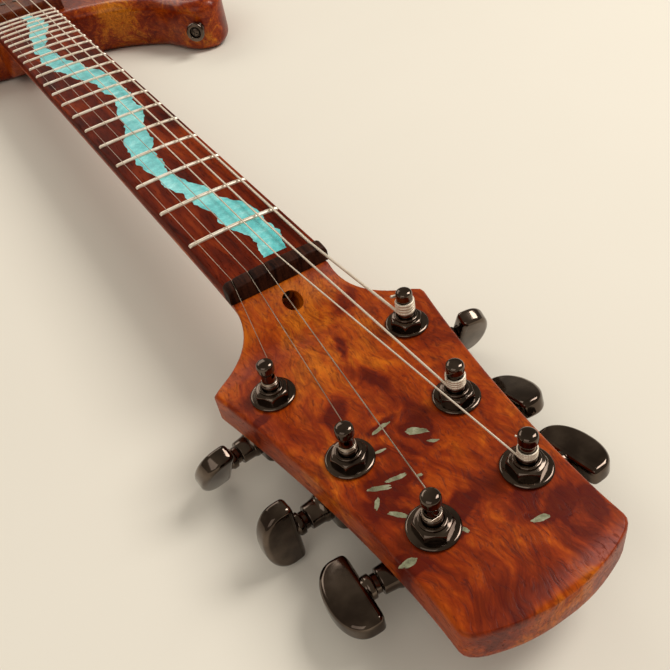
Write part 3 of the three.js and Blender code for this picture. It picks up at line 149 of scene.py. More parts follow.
def bezier(a, b, c, d, steps):
    a, b, c, d = Vector(a), Vector(b), Vector(c), Vector(d)
    made = []
    for step in range(steps):
        t = step / steps
        made.append(a * (1 - t) ** 3 + 3 * b * t * (1 - t) ** 2 + 3 * c * t**2 * (1 - t) + d * t**3)
    return made


# Shapes: each is a list of points and a list of faces


def skin(rings):
    """Rings of points joined into a closed form with flat ends."""
    count = len(rings[0])
    points = [Vector(p) for ring in rings for p in ring]
    faces = []
    for r in range(len(rings) - 1):
        for i in range(count):
            a, b = r * count + i, r * count + (i + 1) % count
            faces.append((a, b, b + count, a + count))
    faces.append(tuple(reversed(range(count))))
    faces.append(tuple(range(len(points) - count, len(points))))
    return points, faces


def turned(profile, sides=48):
    """A form turned about +Z from a list of radius and height. A radius of zero is a point."""
    points, rows, faces = [], [], []
    for radius, height in profile:
        if radius == 0:
            rows.append([len(points)] * sides)
            points.append(Vector((0, 0, height)))
        else:
            rows.append([len(points) + s for s in range(sides)])
            for s in range(sides):
                angle = 2 * math.pi * s / sides
                points.append(Vector((radius * math.cos(angle), radius * math.sin(angle), height)))
    for low, high in zip(rows, rows[1:]):
        for s in range(sides):
            n = (s + 1) % sides
            corners = [low[s], low[n], high[n], high[s]]
            face = [c for k, c in enumerate(corners) if c != corners[k - 1]]
            if len(face) > 2:
                faces.append(tuple(face))
    return points, faces


def rounded(profile, size):
    """A profile whose corners are rounded, apart from its first and last."""
    steps = 4
    made = [Vector(profile[0])]
    for a, b, c in zip(profile, profile[1:], profile[2:]):
        a, b, c = Vector(a), Vector(b), Vector(c)
        reach = min(size, (a - b).length * 0.48, (c - b).length * 0.48)
        start, end = b + (a - b).normalized() * reach, b + (c - b).normalized() * reach
        for k in range(steps + 1):
            t = k / steps
            made.append(start * (1 - t) ** 2 + b * 2 * t * (1 - t) + end * t**2)
    return [tuple(p) for p in (*made, Vector(profile[-1]))]


def bar(radius, low, high, sides=48, edge=0):
    """A round bar along +Z, with rounded corners where an edge is given."""
    profile = [(0, low), (radius, low), (radius, high), (0, high)]
    return turned(rounded(profile, edge) if edge else profile, sides)


def inset(outline, distance):
    """An outline moved inwards along its own normals; it runs anticlockwise."""
    made = []
    for i, point in enumerate(outline):
        before, after = outline[i - 1], outline[(i + 1) % len(outline)]
        one = Vector((point[1] - before[1], before[0] - point[0])).normalized()
        two = Vector((after[1] - point[1], point[0] - after[0])).normalized()
        out = (one + two).normalized()
        made.append(Vector((point[0], point[1])) - out * distance / max(out.dot(one), 0.5))
    return made


def slab(outline, low, high, edge=0, steps=5, low_edge=None):
    """A flat piece with its outline in X and Y and rounded edges."""
    low_edge = edge if low_edge is None else low_edge
    quarter = [math.pi / 2 * k / steps for k in range(steps + 1)]
    rings = [(low_edge * (1 - math.sin(a)), low + low_edge * (1 - math.cos(a))) for a in quarter]
    rings += [(edge * (1 - math.cos(a)), high - edge * (1 - math.sin(a))) for a in quarter]
    return skin([[(x, y, z) for x, y in inset(outline, share)] for share, z in rings])


def rounded_rectangle(length, width, corner, steps=8):
    made = []
    for x, y, start in ((1, -1, -90), (1, 1, 0), (-1, 1, 90), (-1, -1, 180)):
        for k in range(steps + 1):
            angle = math.radians(start + 90 * k / steps)
            made.append((
                x * (length / 2 - corner) + corner * math.cos(angle),
                y * (width / 2 - corner) + corner * math.sin(angle),
            ))
    return made


def block(low, high):
    (a, b, c), (d, e, f) = low, high
    return skin([[(a, b, z), (d, b, z), (d, e, z), (a, e, z)] for z in (c, f)])


def outline_turn(outline):
    return sum(a[0] * b[1] - b[0] * a[1] for a, b in zip(outline, outline[1:] + outline[:1]))


def hexagonal(flats, low, high):
    """A hexagon nut with its top corners turned away."""
    apothem = flats / 2
    corner = apothem / math.cos(math.pi / 6)
    rings = []
    for limit, z in ((corner, low), (corner, high - 0.9), (mix(corner, apothem, 0.45), high - 0.42),
                     (apothem * 0.99, high - 0.12), (apothem * 0.95, high)):
        ring = []
        for s in range(72):
            side = (s * 5) % 60 - 30
            reach = min(apothem / math.cos(math.radians(side)), limit)
            bearing = math.radians(s * 5)
            ring.append((reach * math.cos(bearing), reach * math.sin(bearing), z))
        rings.append(ring)
    return skin(rings)


def along_x(profile, low, high):
    """A bar along X whose section is a list of y and z."""
    return skin([[(x, y, z) for y, z in profile] for x in (low, high)])


def tube(path, radius, sides):
    """A round cord along a path of points."""
    rings = []
    normal = None
    for i, point in enumerate(path):
        along = (path[min(i + 1, len(path) - 1)] - path[max(i - 1, 0)]).normalized()
        if normal is None:
            normal = Vector((1, 0, 0)).cross(along).normalized()
        normal = (normal - along * normal.dot(along)).normalized()
        across = along.cross(normal)
        rings.append([
            point + radius * (normal * math.cos(turn) + across * math.sin(turn))
            for turn in (2 * math.pi * s / sides for s in range(sides))
        ])
    return skin(rings)


def moved(shape, *steps):
    """A shape after each matrix or vector in turn."""
    points, faces = shape
    for step in steps:
        if isinstance(step, Matrix):
            points = [step @ p for p in points]
        else:
            points = [p + Vector(step) for p in points]
    return points, faces


def together(*shapes):
    points, faces = [], []
    for some, their in shapes:
        faces.extend(tuple(c + len(points) for c in face) for face in their)
        points.extend(some)
    return points, faces


def turn(degrees, axis):
    return Matrix.Rotation(math.radians(degrees), 3, axis)


ALONG_X = turn(90, "Y")
ALONG_Y = turn(-90, "X")


# Pieces


def placed(name, data):
    """An object in the scene that shows a mesh, a lamp or a camera."""
    made = bpy.data.objects.new(name, data)
    bpy.context.scene.collection.objects.link(made)
    return made


def solid(name, shape):
    points, faces = shape
    data = bpy.data.meshes.new(name)
    data.from_pydata([Vector(p) * MM for p in points], [], faces)
    work = bmesh.new()
    work.from_mesh(data)
    bmesh.ops.remove_doubles(work, verts=work.verts, dist=1e-7)
    bmesh.ops.recalc_face_normals(work, faces=work.faces)
    work.to_mesh(data)
    work.free()
    return placed(name, data)


def carve(made, *cutters):
    """Cuts shapes out of a piece."""
    tools = [solid(f"cutter_{i}", shape) for i, shape in enumerate(cutters)]
    for tool in tools:
        step = made.modifiers.new("cut", "BOOLEAN")
        step.operation = "DIFFERENCE"
        step.solver = "EXACT"
        step.object = tool
    settle(made)
    for tool in tools:
        data = tool.data
        bpy.data.objects.remove(tool)
        bpy.data.meshes.remove(data)


def settle(made):
    """Puts a piece's modifiers into its mesh."""
    bpy.context.view_layer.update()
    shown = made.evaluated_get(bpy.context.evaluated_depsgraph_get())
    data = bpy.data.meshes.new_from_object(shown)
    made.modifiers.clear()
    made.data = data


def soften(made, size, segments):
    """Rounds a piece's sharp edges."""
    step = made.modifiers.new("edges", "BEVEL")
    step.width = size * MM
    step.segments = segments
    step.limit_method = "ANGLE"
    step.angle_limit = math.radians(35)
    settle(made)


def dress(made, finish, nodes=(), body="guitar", sharp=38):
    """Gives a piece its finish and its body, and hides the nodes that it stands for."""
    made.data.materials.clear()
    made.data.materials.append(finish)
    made.data.shade_smooth()
    made.data.set_sharp_from_angle(angle=math.radians(sharp))
    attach(made, body)
    if nodes:
        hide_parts(*nodes)


def piece(name, shape, finish, nodes=(), body="guitar", cuts=(), sharp=38):
    """Makes a shape, cuts others out of it and dresses it."""
    made = solid(name, shape)
    if cuts:
        carve(made, *cuts)
    dress(made, finish, nodes, body, sharp)


# Finishes


class Reading:
    """One socket of a finish. Python's own sums on it add Math nodes."""

    def __init__(self, finish, socket):
        self.finish = finish
        self.socket = socket

    def sum(self, operation, *values):
        return self.finish.node("ShaderNodeMath", values, operation=operation)

    def __add__(self, other):
        return self.sum("ADD", self, other)

    def __radd__(self, other):
        return self.sum("ADD", other, self)

    def __sub__(self, other):
        return self.sum("SUBTRACT", self, other)

    def __rsub__(self, other):
        return self.sum("SUBTRACT", other, self)

    def __mul__(self, other):
        return self.sum("MULTIPLY", self, other)

    def __rmul__(self, other):
        return self.sum("MULTIPLY", other, self)

    def off(self, level):
        """How far a value lies from a level."""
        return self.sum("ABSOLUTE", self - level)

    def between(self, low, high):
        """0 at low and below, 1 at high and above, smooth in between."""
        return self.finish.node(
            "ShaderNodeMapRange", {0: self, 1: low, 2: high},
            interpolation_type="SMOOTHSTEP", clamp=True,
        )


class Finish:
    """A material with one Principled shader, built from readings."""

    def __init__(self, name):
        self.material = bpy.data.materials.new(name)
        self.material.use_nodes = True
        self.tree = self.material.node_tree
        self.tree.nodes.clear()
        self.shader = self.tree.nodes.new("ShaderNodeBsdfPrincipled")
        out = self.tree.nodes.new("ShaderNodeOutputMaterial")
        self.tree.links.new(self.shader.outputs[0], out.inputs[0])

    def node(self, kind, values=(), out=0, stops=None, **settings):
        """A node's output, after its settings, its ramp's stops and its sockets are set."""
        made = self.tree.nodes.new(kind)
        for setting, value in settings.items():
            setattr(made, setting, value)
        if stops:
            ramp = made.color_ramp.elements
            while len(ramp) < len(stops):
                ramp.new(0.5)
            for element, (place, colour) in zip(ramp, stops):
                element.position = place
                element.color = (*colour, 1)
        for socket, value in values.items() if isinstance(values, dict) else enumerate(values):
            if isinstance(value, Reading):
                self.tree.links.new(value.socket, made.inputs[socket])
            else:
                made.inputs[socket].default_value = value
        return Reading(self, made.outputs[out])

    def place(self, scale=(1, 1, 1)):
        """Where a point lies in the part, in millimetres times a scale."""
        spot = self.node("ShaderNodeTexCoord", out="Object")
        stretch = [share / MM for share in scale]
        return self.node("ShaderNodeMapping", {0: spot, 3: stretch})

    def noise(self, where, scale=1, detail=4, roughness=0.55, distortion=0, colour=False):
        return self.node(
            "ShaderNodeTexNoise",
            {"Vector": where, "Scale": scale, "Detail": detail, "Roughness": roughness,
             "Distortion": distortion},
            out=1 if colour else 0,
        )

    def bent(self, where, scale, reach, detail=2):
        """Places pushed about by a soft noise."""
        sway = self.noise(where, scale, detail, colour=True)
        level = self.node("ShaderNodeVectorMath", (sway, (0.5, 0.5, 0.5)), operation="SUBTRACT")
        push = self.node("ShaderNodeVectorMath", {0: level, "Scale": reach}, operation="SCALE")
        return self.node("ShaderNodeVectorMath", (where, push), operation="ADD")

    def drawn_out(self, where, share):
        """Places squeezed along Y, so that what is laid on them runs along the piece."""
        return self.node("ShaderNodeVectorMath", (where, (1, share, 1)), operation="MULTIPLY")

    def cells(self, where, scale=1):
        return self.node("ShaderNodeTexVoronoi", {"Vector": where, "Scale": scale}, out="Distance")

    def ramp(self, value, *stops):
        return self.node("ShaderNodeValToRGB", (value,), stops=stops)

    def colour(self, share, low, high):
        low, high = [c if isinstance(c, Reading) else (*c, 1) for c in (low, high)]
        return self.node("ShaderNodeMix", {0: share, 6: low, 7: high}, out=2, data_type="RGBA")

    def patch(self, where, x, y, long, wide, angle=0):
        """1 at the middle of an oval in X and Y, 0 outside it."""
        flat = self.node(
            "ShaderNodeMapping",
            {0: where, 1: (x, y, 0), 2: (0, 0, math.radians(angle)), 3: (long, wide, 1e6)},
            vector_type="TEXTURE",
        )
        reach = self.node("ShaderNodeVectorMath", (flat,), out="Value", operation="LENGTH")
        return 1 - reach.between(0.35, 1)

    def relief(self, height, depth, strength=1):
        """A bump whose depth is in millimetres."""
        bump = self.node("ShaderNodeBump", {"Height": height, "Strength": strength, "Distance": depth * MM})
        self.set(Normal=bump)

    def set(self, **sockets):
        for name, value in sockets.items():
            socket = self.shader.inputs[name.replace("_", " ")]
            if isinstance(value, Reading):
                self.tree.links.new(value.socket, socket)
            else:
                socket.default_value = value
        return self.material


def burl(name, tones, spots=(), gloss=0.36, coat=0.0):
    """Burl: soft clouds of colour, dark veins, knots and fine pores along the piece; the given patches are
    lighter or darker places, some of them painted highlights.
    """
    deep, warm, pale, light = tones
    wood = Finish(name)
    where = wood.place()
    drift = wood.bent(where, 0.018, 34, 3)
    flow = wood.drawn_out(drift, 0.36)
    cloud = wood.noise(drift, 0.028, 4, 0.5, 0.5)
    swirl = wood.noise(flow, 0.11, 6, 0.62, 1.6)
    tone = 0.5 + (cloud - 0.5) * 0.9 + (swirl - 0.5) * 1.0
    # Lighter and darker patches: burl figure, and in some places a painted highlight
    for x, y, long, wide, angle, share in spots:
        tone = tone + wood.patch(wood.bent(where, 0.09, 9, 3), x, y, long, wide, angle) * share
    vein = 1 - wood.noise(flow, 0.06, 3, 0.5, 2.4).off(0.5).between(0, 0.045)
    vein = vein * wood.noise(where, 0.035, 2).between(0.46, 0.66)
    colour = wood.ramp(tone, (0.2, deep), (0.42, warm), (0.6, pale), (0.82, light))
    colour = wood.colour(vein * 0.5, colour, tuple(0.6 * c for c in deep))
    streaked = wood.drawn_out(wood.bent(where, 0.05, 14), 0.12)
    pores = wood.noise(streaked, 0.95, 3, 0.65).between(0.52, 0.7)
    fleck = wood.noise(streaked, 0.42, 5, 0.7).between(0.32, 0.7)
    fine = wood.drawn_out(wood.bent(where, 0.03, 22), 0.035)
    line = wood.noise(fine, 0.85, 2, 0.5).between(0.46, 0.62)
    colour = wood.colour(fleck * 0.4 + line * 0.3, colour, tuple(0.5 * c for c in warm))
    colour = wood.colour(pores * 0.55, colour, tuple(0.5 * c for c in deep))
    knots = wood.cells(wood.bent(where, 0.12, 7), 0.085)
    crowd = wood.noise(where, 0.016, 2).between(0.5, 0.62)
    knot = (1 - knots.between(0.06, 0.26)) * crowd
    colour = wood.colour(knot * 0.3, colour, tuple(0.4 * c for c in deep))
    wear = wood.noise(where, 0.03, 4)
    wood.set(
        Base_Color=colour, Roughness=gloss + (wear - 0.5) * 0.2 + pores * 0.16,
        Specular_IOR_Level=0.14, Coat_Roughness=0.12, Coat_Weight=coat,
    )
    wood.relief(pores * -0.7 + fleck * 0.25 - knot * 0.4, 0.16, 0.35)
    return wood.material


def board_wood():
    """Dark red-brown board with open pores and lighter streaks along it."""
    wood = Finish("board_wood")
    where = wood.bent(wood.place(), 0.02, 8)
    band = wood.noise(wood.drawn_out(where, 0.09), 0.16, 5, 0.6, 0.8)
    patch = wood.noise(where, 0.022, 3)
    colour = wood.ramp(
        band * 0.6 + patch * 0.4, (0.34, (0.032, 0.003, 0.001)), (0.5, (0.115, 0.010, 0.001)),
        (0.62, (0.23, 0.028, 0.003)), (0.76, (0.36, 0.066, 0.006)),
    )
    pores = wood.noise(wood.drawn_out(where, 0.05), 2.4, 3, 0.6).between(0.55, 0.7)
    colour = wood.colour(pores * 0.6, colour, (0.012, 0.003, 0.002))
    wood.set(Base_Color=colour, Roughness=0.5 + pores * 0.2 + (patch - 0.5) * 0.16, Specular_IOR_Level=0.03)
    wood.relief(pores * -1.0, 0.14, 0.7)
    return wood.material


def black_wood():
    """Nut blank: near-black wood with faint brown bars and fine scratches."""
    wood = Finish("nut_wood")
    where = wood.place()
    streak = wood.noise(wood.place((0.5, 0.05, 0.05)), 1, 3)
    grit = wood.noise(where, 1.8, 4)
    tone = streak * 0.7 + grit * 0.3
    colour = wood.ramp(tone, (0.4, (0.008, 0.003, 0.002)), (0.62, (0.045, 0.014, 0.007)))
    wood.set(Base_Color=colour, Roughness=0.38 + grit * 0.2, Specular_IOR_Level=0.06)
    wood.relief(grit, 0.08, 0.5)
    return wood.material


def stone(name, deep, mid, pale, scale=1.0, gloss=0.3):
    """Crushed stone in clear resin, polished flush."""
    fill = Finish(name)
    where = fill.place()
    cloud = fill.noise(fill.bent(where, 0.1, 5), 0.11 * scale, 6, 0.65)
    colour = fill.ramp(cloud, (0.3, deep), (0.5, mid), (0.68, pale))
    grit = fill.cells(where, 0.9 * scale)
    vein = 1 - fill.cells(fill.bent(where, 0.3, 2.4), 0.16 * scale).between(0.0, 0.12)
    colour = fill.colour(grit.between(0.1, 0.6) * 0.22, colour, tuple(0.5 * c for c in deep))
    colour = fill.colour(vein * 0.5, colour, pale)
    fill.set(Base_Color=colour, Roughness=gloss + grit * 0.12)
    fill.relief(cloud + grit * 0.3, 0.1, 0.4)
    return fill.material


def plate(name, dark, light, gloss, wear):
    """Plated or polished metal: fine polishing marks, smudges and softer high spots."""
    metal = Finish(name)
    where = metal.place()
    smudge = metal.noise(where, 0.1, 3, 0.5)
    marks = metal.noise(metal.place((0.4, 3, 3)), 1, 2)
    colour = metal.colour(smudge.between(0.3, 0.75), dark, light)
    rough = gloss + smudge.between(0.35, 0.8) * wear + marks * 0.03
    metal.set(Base_Color=colour, Metallic=1.0, Roughness=rough)
    metal.relief(marks + smudge * 2, 0.01, 0.25)
    return metal.material


def wound_wire():
    """Round-wound string: the winding is a fine wave along the wire's own length, darker in the grooves
    between turns as painted shade.
    """
    wire = Finish("wound_wire")
    along = wire.node("ShaderNodeAttribute", out="Fac", attribute_name="along")
    turns = along * (2 * math.pi / 0.42)
    wave = wire.node("ShaderNodeMath", (turns,), operation="SINE") * 0.5 + 0.5
    tarnish = wire.noise(wire.place(), 0.2, 4)
    # Painted shade: the wave darkens the colour in the grooves between the turns
    colour = wire.colour(wave, (0.58, 0.47, 0.35), (0.98, 0.88, 0.72))
    colour = wire.colour(tarnish.between(0.45, 0.75) * 0.3, colour, (0.5, 0.38, 0.24))
    wire.set(Base_Color=colour, Metallic=0.55, Roughness=0.36 + tarnish * 0.15)
    wire.relief(wave, 0.04, 0.5)
    return wire.material


def backdrop():
    """Pale cream sheet."""
    sheet = Finish("backdrop")
    where = sheet.place()
    cloud = sheet.noise(where, 0.004, 3)
    colour = sheet.colour(cloud, (0.745, 0.685, 0.575), (0.79, 0.73, 0.62))
    sheet.set(Base_Color=colour, Roughness=0.85, Specular_IOR_Level=0.1)
    return sheet.material


# Camera, from the spacing of the frets and the tuner posts in the photograph


def camera():
    right = Vector((-0.8468, 0.5106, -0.1490)).normalized()
    down = Vector((0.4406, 0.5163, -0.7344)).normalized()
    ahead = right.cross(down).normalized()
    data = bpy.data.cameras.new("camera")
    data.sensor_width = 36
    data.lens = 725.5 / 670 * data.sensor_width
    data.shift_x = 2 / 670
    made = placed("camera", data)
    up, back = -ahead.cross(right).normalized(), -ahead
    made.matrix_world = Matrix((
        (right.x, up.x, back.x, 0.0780), (right.y, up.y, back.y, 0.8737),
        (right.z, up.z, back.z, 0.2168), (0, 0, 0, 1),
    ))
    bpy.context.scene.camera = made


def lamp(name, spot, aim, size, power, colour):
    data = bpy.data.lights.new(name, "AREA")
    data.shape = "RECTANGLE"
    data.size, data.size_y = size
    data.energy = power
    data.color = colour
    made = placed(name, data)
    made.location = spot
    made.rotation_euler = (Vector(aim) - Vector(spot)).to_track_quat("-Z", "Y").to_euler()


def studio():
    lamp("window", (-1.3, 0.9, 1.5), (0, 0.55, 0), (0.8, 1.0), 29, (1, 0.98, 0.95))
    lamp("fill", (1.4, 1.6, 1.3), (0, 0.6, 0), (1.6, 1.6), 8, (1, 0.97, 0.93))
    lamp("far", (0.2, -1.5, 1.4), (0, 0.3, 0), (1.8, 1.0), 12, (1, 0.96, 0.9))
    world = bpy.data.worlds.new("world")
    bpy.context.scene.world = world
    world.use_nodes = True
    tree = world.node_tree
    tree.nodes.clear()
    path = tree.nodes.new("ShaderNodeLightPath")
    around = None
    # What lights the guitar, what the camera sees and what the metal mirrors
    for ray, colour, strength in (
        (None, (1, 0.965, 0.91, 1), 0.42), ("Is Camera Ray", (0.83, 0.76, 0.64, 1), 1),
        ("Is Glossy Ray", (0.26, 0.225, 0.18, 1), 1),
    ):
        seen = tree.nodes.new("ShaderNodeBackground")
        seen.inputs[0].default_value, seen.inputs[1].default_value = colour, strength
        if not ray:
            around = seen.outputs[0]
            continue
        blend = tree.nodes.new("ShaderNodeMixShader")
        for socket, source in enumerate((path.outputs[ray], around, seen.outputs[0])):
            tree.links.new(source, blend.inputs[socket])
        around = blend.outputs[0]
    out = tree.nodes.new("ShaderNodeOutputWorld")
    tree.links.new(around, out.inputs[0])


def floor():
    data = bpy.data.meshes.new("floor")
    data.from_pydata([(-6, -5, 0), (6, -5, 0), (6, 6, 0), (-6, 6, 0)], [], [(0, 1, 2, 3)])
    made = placed("floor", data)
    data.materials.append(backdrop())
    made.location.z = -0.0004


# Neck and headstock


def flank(side, distance):
    """Half width of the neck and headstock on one side: -1 is the bass side."""
    if distance <= 6.5:
        return NUT_HALF if distance > 0 else board_half(min(-distance, NUT_FRONT - JOINT))
    corner = 3.4 if side < 0 else 1.3
    flare = NUT_HALF + (HEAD_HALF - NUT_HALF) * held((distance - 6.5) / 29.5, 0, 1.6) ** 2.1
    taper = held((distance - 34) / 114)
    width = soft_least(flare, HEAD_TIP_HALF + (HEAD_HALF - HEAD_TIP_HALF) * (1 - taper) ** 1.6, corner)
    if distance > 148:
        arc = HEAD_TIP_HALF * math.sqrt((HEAD_LENGTH - distance) / 6.5)
        width = soft_least(width, arc, 6)
    return width


def neck_ring(distance):
    """The neck's section at a distance past the nut, from the heel to the head's tip."""
    fine = 22
    along = held(-distance / (NUT_FRONT - JOINT))
    y = NUT_FRONT + distance
    heel = 1 - ease(y, JOINT, 239.05)
    back = mix(BOARD_TOP - mix(21, 24, along), 5, heel)
    ramp = held((distance - 6.2) / 26)
    nose = held((distance - HEAD_LENGTH + 1.9) / 1.9)
    drop = 1.9 * (1 - math.sqrt(1 - nose**2))
    top = HEAD_FACE + (NECK_TOP - HEAD_FACE) * (1 - ramp) ** 2 - drop
    low = mix(back, HEAD_BACK, ease(distance, -26, 30)) + drop
    square = max(heel, ease(distance, 0, 36))
    halves = []
    for side in (1, -1):
        wide = flank(side, distance)
        edge = min(mix(0.9, 1.9, square), wide * 0.4)
        half = []
        for k in range(6):
            angle = math.pi / 2 * k / 6
            half.append((wide - edge + edge * math.sin(angle), top - edge + edge * math.cos(angle)))
        cheek = top - edge
        for k in range(fine + 1):
            share = k / fine
            angle = math.pi / 2 * share
            round_x = wide * math.cos(angle) ** 0.8
            round_z = cheek - (cheek - low) * math.sin(angle) ** 1.15
            if share < 0.4:
                boxed = (wide, mix(cheek, low + edge, share / 0.4))
            elif share < 0.6:
                bend = math.pi / 2 * (share - 0.4) / 0.2
                boxed = (wide - edge + edge * math.cos(bend), low + edge - edge * math.sin(bend))
            else:
                boxed = (mix(wide - edge, 0, (share - 0.6) / 0.4), low)
            half.append((mix(round_x, boxed[0], square), mix(round_z, boxed[1], square)))
        halves.append([(side * x, y, z) for x, z in half])
    return halves[0][:-1] + list(reversed(halves[1]))


def neck_shape():
    stations = [163.8 - NUT_FRONT, 172 - NUT_FRONT, JOINT - NUT_FRONT]
    stations += [JOINT - NUT_FRONT + 58 * k / 10 for k in range(1, 11)]
    stations += [mix(-408, -26, k / 24) for k in range(1, 24)]
    stations += [mix(-26, 6.2, k / 12) for k in range(13)]
    stations += [mix(6.2, 148, k / 76) for k in range(1, 77)]
    stations += [148 + 15 * math.sin(math.pi / 2 * k / 16) for k in range(1, 15)]
    stations.append(162.77)
    return skin([neck_ring(d) for d in stations])


def rod_chamber():
    """The hollow along the neck in which the truss rod's nut turns."""
    return moved(bar(4.2, 641.8, 655.4), ALONG_Y, (0, 0, ROD_LEVEL))


def rod_way():
    """The drilled way in to the truss rod's nut."""
    ramp = HEAD_FACE + (NECK_TOP - HEAD_FACE) * (1 - (13.5 - 6.2) / 26) ** 2
    return moved(bar(4.1, -14, 14), turn(35 - 90, "X"),
                 (0, NUT_FRONT + 13.5, ramp))


# Stone chips let into the headstock's voids: middle, length, width and turn
CHIPS = (
    (7.8, 734.3, 7, 1.6, -172), (-0.9, 742.3, 8, 2.7, 146), (13, 742, 3.8, 1.2, 170),
    (15.1, 753.6, 7, 1.7, 172), (20.9, 753.8, 8.2, 2.1, 152), (24.6, 757.8, 4.2, 1.4, 50),
    (21.8, 764.8, 6, 1.8, 134), (-2.7, 748.7, 3.4, 1.3, 150), (8.5, 757.1, 2.8, 1, 160),
    (-9.3, 789.8, 6, 1.8, 166), (28.4, 779.1, 5.6, 2.3, 175), (9.7, 780, 3.4, 1.5, 120),
)


def chip(x, y, long, wide, angle, seed):
    top = HEAD_FACE + 0.03
    rings = []
    for share, z in ((1, top - 0.5), (1, top - 0.02), (0.8, top), (0.3, top)):
        ring = []
        for s in range(28):
            bearing = 2 * math.pi * s / 28
            spot = Vector((math.cos(bearing), math.sin(bearing), seed * 3.1))
            reach = share * (1 + 0.5 * noise.noise(spot * 1.3) + 0.22 * noise.noise(spot * 3.7))
            ring.append((long / 2 * reach * math.cos(bearing), wide / 2 * reach * math.sin(bearing), z))
        rings.append(ring)
    return moved(skin(rings), turn(angle, "Z"), (x, y, 0))


# Fretboard


def board_shape():
    end = board_end()
    rings = []
    for k in range(49):
        y = mix(end, NUT_FRONT - SEAT, k / 48)
        half = board_half(NUT_FRONT - y)
        ring = [(-half, y, BOARD_BOTTOM), (half, y, BOARD_BOTTOM)]
        for s in range(19):
            x = half * math.cos(math.pi * s / 18)
            ring.append((x, y, board_top_at(x, y) - 0.45 * held((abs(x) - half + 0.6) / 0.6) ** 2))
        rings.append(ring)
    return skin(rings)


def fret_shape(number):
    y = NUT_FRONT - fret_distance(number)
    half = board_half(fret_distance(number)) - 0.5
    rings = []
    for k in range(25):
        share = math.sin(math.pi / 2 * (2 * k / 24 - 1))
        x = half * share
        tuck = math.sqrt(max(1 - held((abs(x) - half + 1.2) / 1.2) ** 2, 0.02))
        foot = board_top_at(x, y)
        rings.append([(x, y - 1.2, foot - 0.15)] + [
            (x, y - 1.2 * math.cos(math.pi * s / 8), foot + 1.1 * tuck * math.sin(math.pi * s / 8) ** 0.8)
            for s in range(9)
        ] + [(x, y + 1.2, foot - 0.15)])
    return skin(rings)


# The turquoise river: places along it, across the board, and its width
RIVER = (
    (0, -0.3, 0.7), (0.04, -0.5, 1), (0.09, -0.25, 1.3), (0.15, 0.1, 1.1), (0.2, 0.42, 0.8),
    (0.27, 0.5, 1), (0.34, 0.15, 1.2), (0.41, -0.3, 1.1), (0.48, -0.55, 0.8), (0.55, -0.45, 1.1),
    (0.62, -0.05, 1.4), (0.69, 0.35, 1.1), (0.76, 0.5, 0.8), (0.83, 0.25, 1), (0.9, -0.15, 1.2),
    (0.96, -0.2, 1), (1, -0.05, 0.6),
)


def river_shape():
    end = board_end()
    rings = []
    for along, across, width in through(RIVER, 14):
        y = mix(NUT_FRONT - 6, end + 5, along)
        room = board_half(NUT_FRONT - y) - 2.5
        middle = across * (room - 5)
        banks = []
        for bank in (-1, 1):
            spot = Vector((bank * 7.3, y * 0.11, 0.4))
            ragged = 3.4 * noise.noise(spot * 0.6) + 1.5 * noise.noise(spot * 2.1)
            ragged += 0.6 * noise.noise(spot * 6)
            banks.append(held(middle + bank * max(6 * width + ragged, 1.6), -room, room))
        ring = [(banks[0], y, BOARD_TOP - 2)]
        for s in range(9):
            x = mix(banks[0], banks[1], s / 8)
            ring.append((x, y, board_top_at(x, y) + (0.035 if 0 < s < 8 else 0.01)))
        ring.append((banks[1], y, BOARD_TOP - 2))
        rings.append(ring)
    return skin(rings)


# Strings


def string_line(i):
    """A string's radius, and its middle at the nut and at the saddle."""
    radius = STRING_SIZES[i] / 2
    share = 2 * i / 5 - 1
    nut_x, saddle_x = (NUT_HALF - 3.7) * share, 26.25 * share
    at_nut = BOARD_TOP + 1.6 - crown_drop(nut_x) + radius
    at_saddle = BOARD_TOP + 1.1 + 3.5 - crown_drop(saddle_x) + radius
    return radius, Vector((nut_x, NUT_FRONT, at_nut)), Vector((saddle_x, -SETBACKS[i], at_saddle))


def tuner_place(i):
    """Hand, x, y and turn of a tuner: the low strings are on the bass side."""
    hand = -1 if i < 3 else 1
    station = i if hand < 0 else 5 - i
    fan = (9, 4.5, -3.5)[station]
    return (
        hand, (-28.7, -19.9, -18.4, 16.2, 22.3, 28.9)[i],
        NUT_FRONT + HEAD_LENGTH * (0.308, 0.558, 0.7755)[station],
        fan if hand > 0 else 180 - fan,
    )


def winding(i):
    """The turns round the post, close together, climbing from where the string comes in."""
    radius, nut, _ = string_line(i)
    hand, x, y, _ = tuner_place(i)
    reach = 2.55 + radius
    low = HEAD_FACE + 6.9 + radius
    way = math.atan2(nut.y + NUT_THICKNESS - y, nut.x - x)
    gap = math.hypot(nut.y + NUT_THICKNESS - y, nut.x - x)
    start = way + (1 if hand < 0 else -1) * math.acos(reach / gap)
    steps = round(POST_TURNS[i] * 28)
    path = []
    for s in range(steps + 1):
        angle = start - hand * 2 * math.pi * s / 28
        path.append(Vector((
            x + reach * math.cos(angle), y + reach * math.sin(angle), low + 2.12 * radius * s / 28,
        )))
    last = start - hand * 2 * math.pi * steps / 28
    tail = Vector((hand * math.sin(last), -hand * math.cos(last), 0.25)).normalized()
    path.append(path[-1] + tail * 1.6 + Vector((0, 0, 0.1)))
    path.append(path[-1] + tail * (2.4 if i < 3 else 1.6))
    return path


def string_path(i):
    radius, nut, saddle = string_line(i)
    turns = winding(i)
    rear = nut.lerp(turns[0], NUT_THICKNESS / (turns[0].y - nut.y))
    over = [
        Vector((saddle.x, saddle.y - 1.4 - radius, saddle.z - 2.8)),
        Vector((saddle.x, saddle.y - 0.9, saddle.z - 1.1)),
        Vector((saddle.x, saddle.y - 0.3, saddle.z - 0.25)),
        Vector((saddle.x, saddle.y + 0.7, saddle.z)),
    ]
    speaking = [saddle.lerp(nut, k / 24) for k in range(1, 24)]
    return [
        Vector((saddle.x, HOLE_ROW, 7.4)), Vector((saddle.x, HOLE_ROW, PLATE_TOP)), *over, *speaking, nut,
        nut.lerp(rear, 0.5), rear, *[rear.lerp(turns[0], k / 6) for k in range(1, 6)], *turns,
    ]


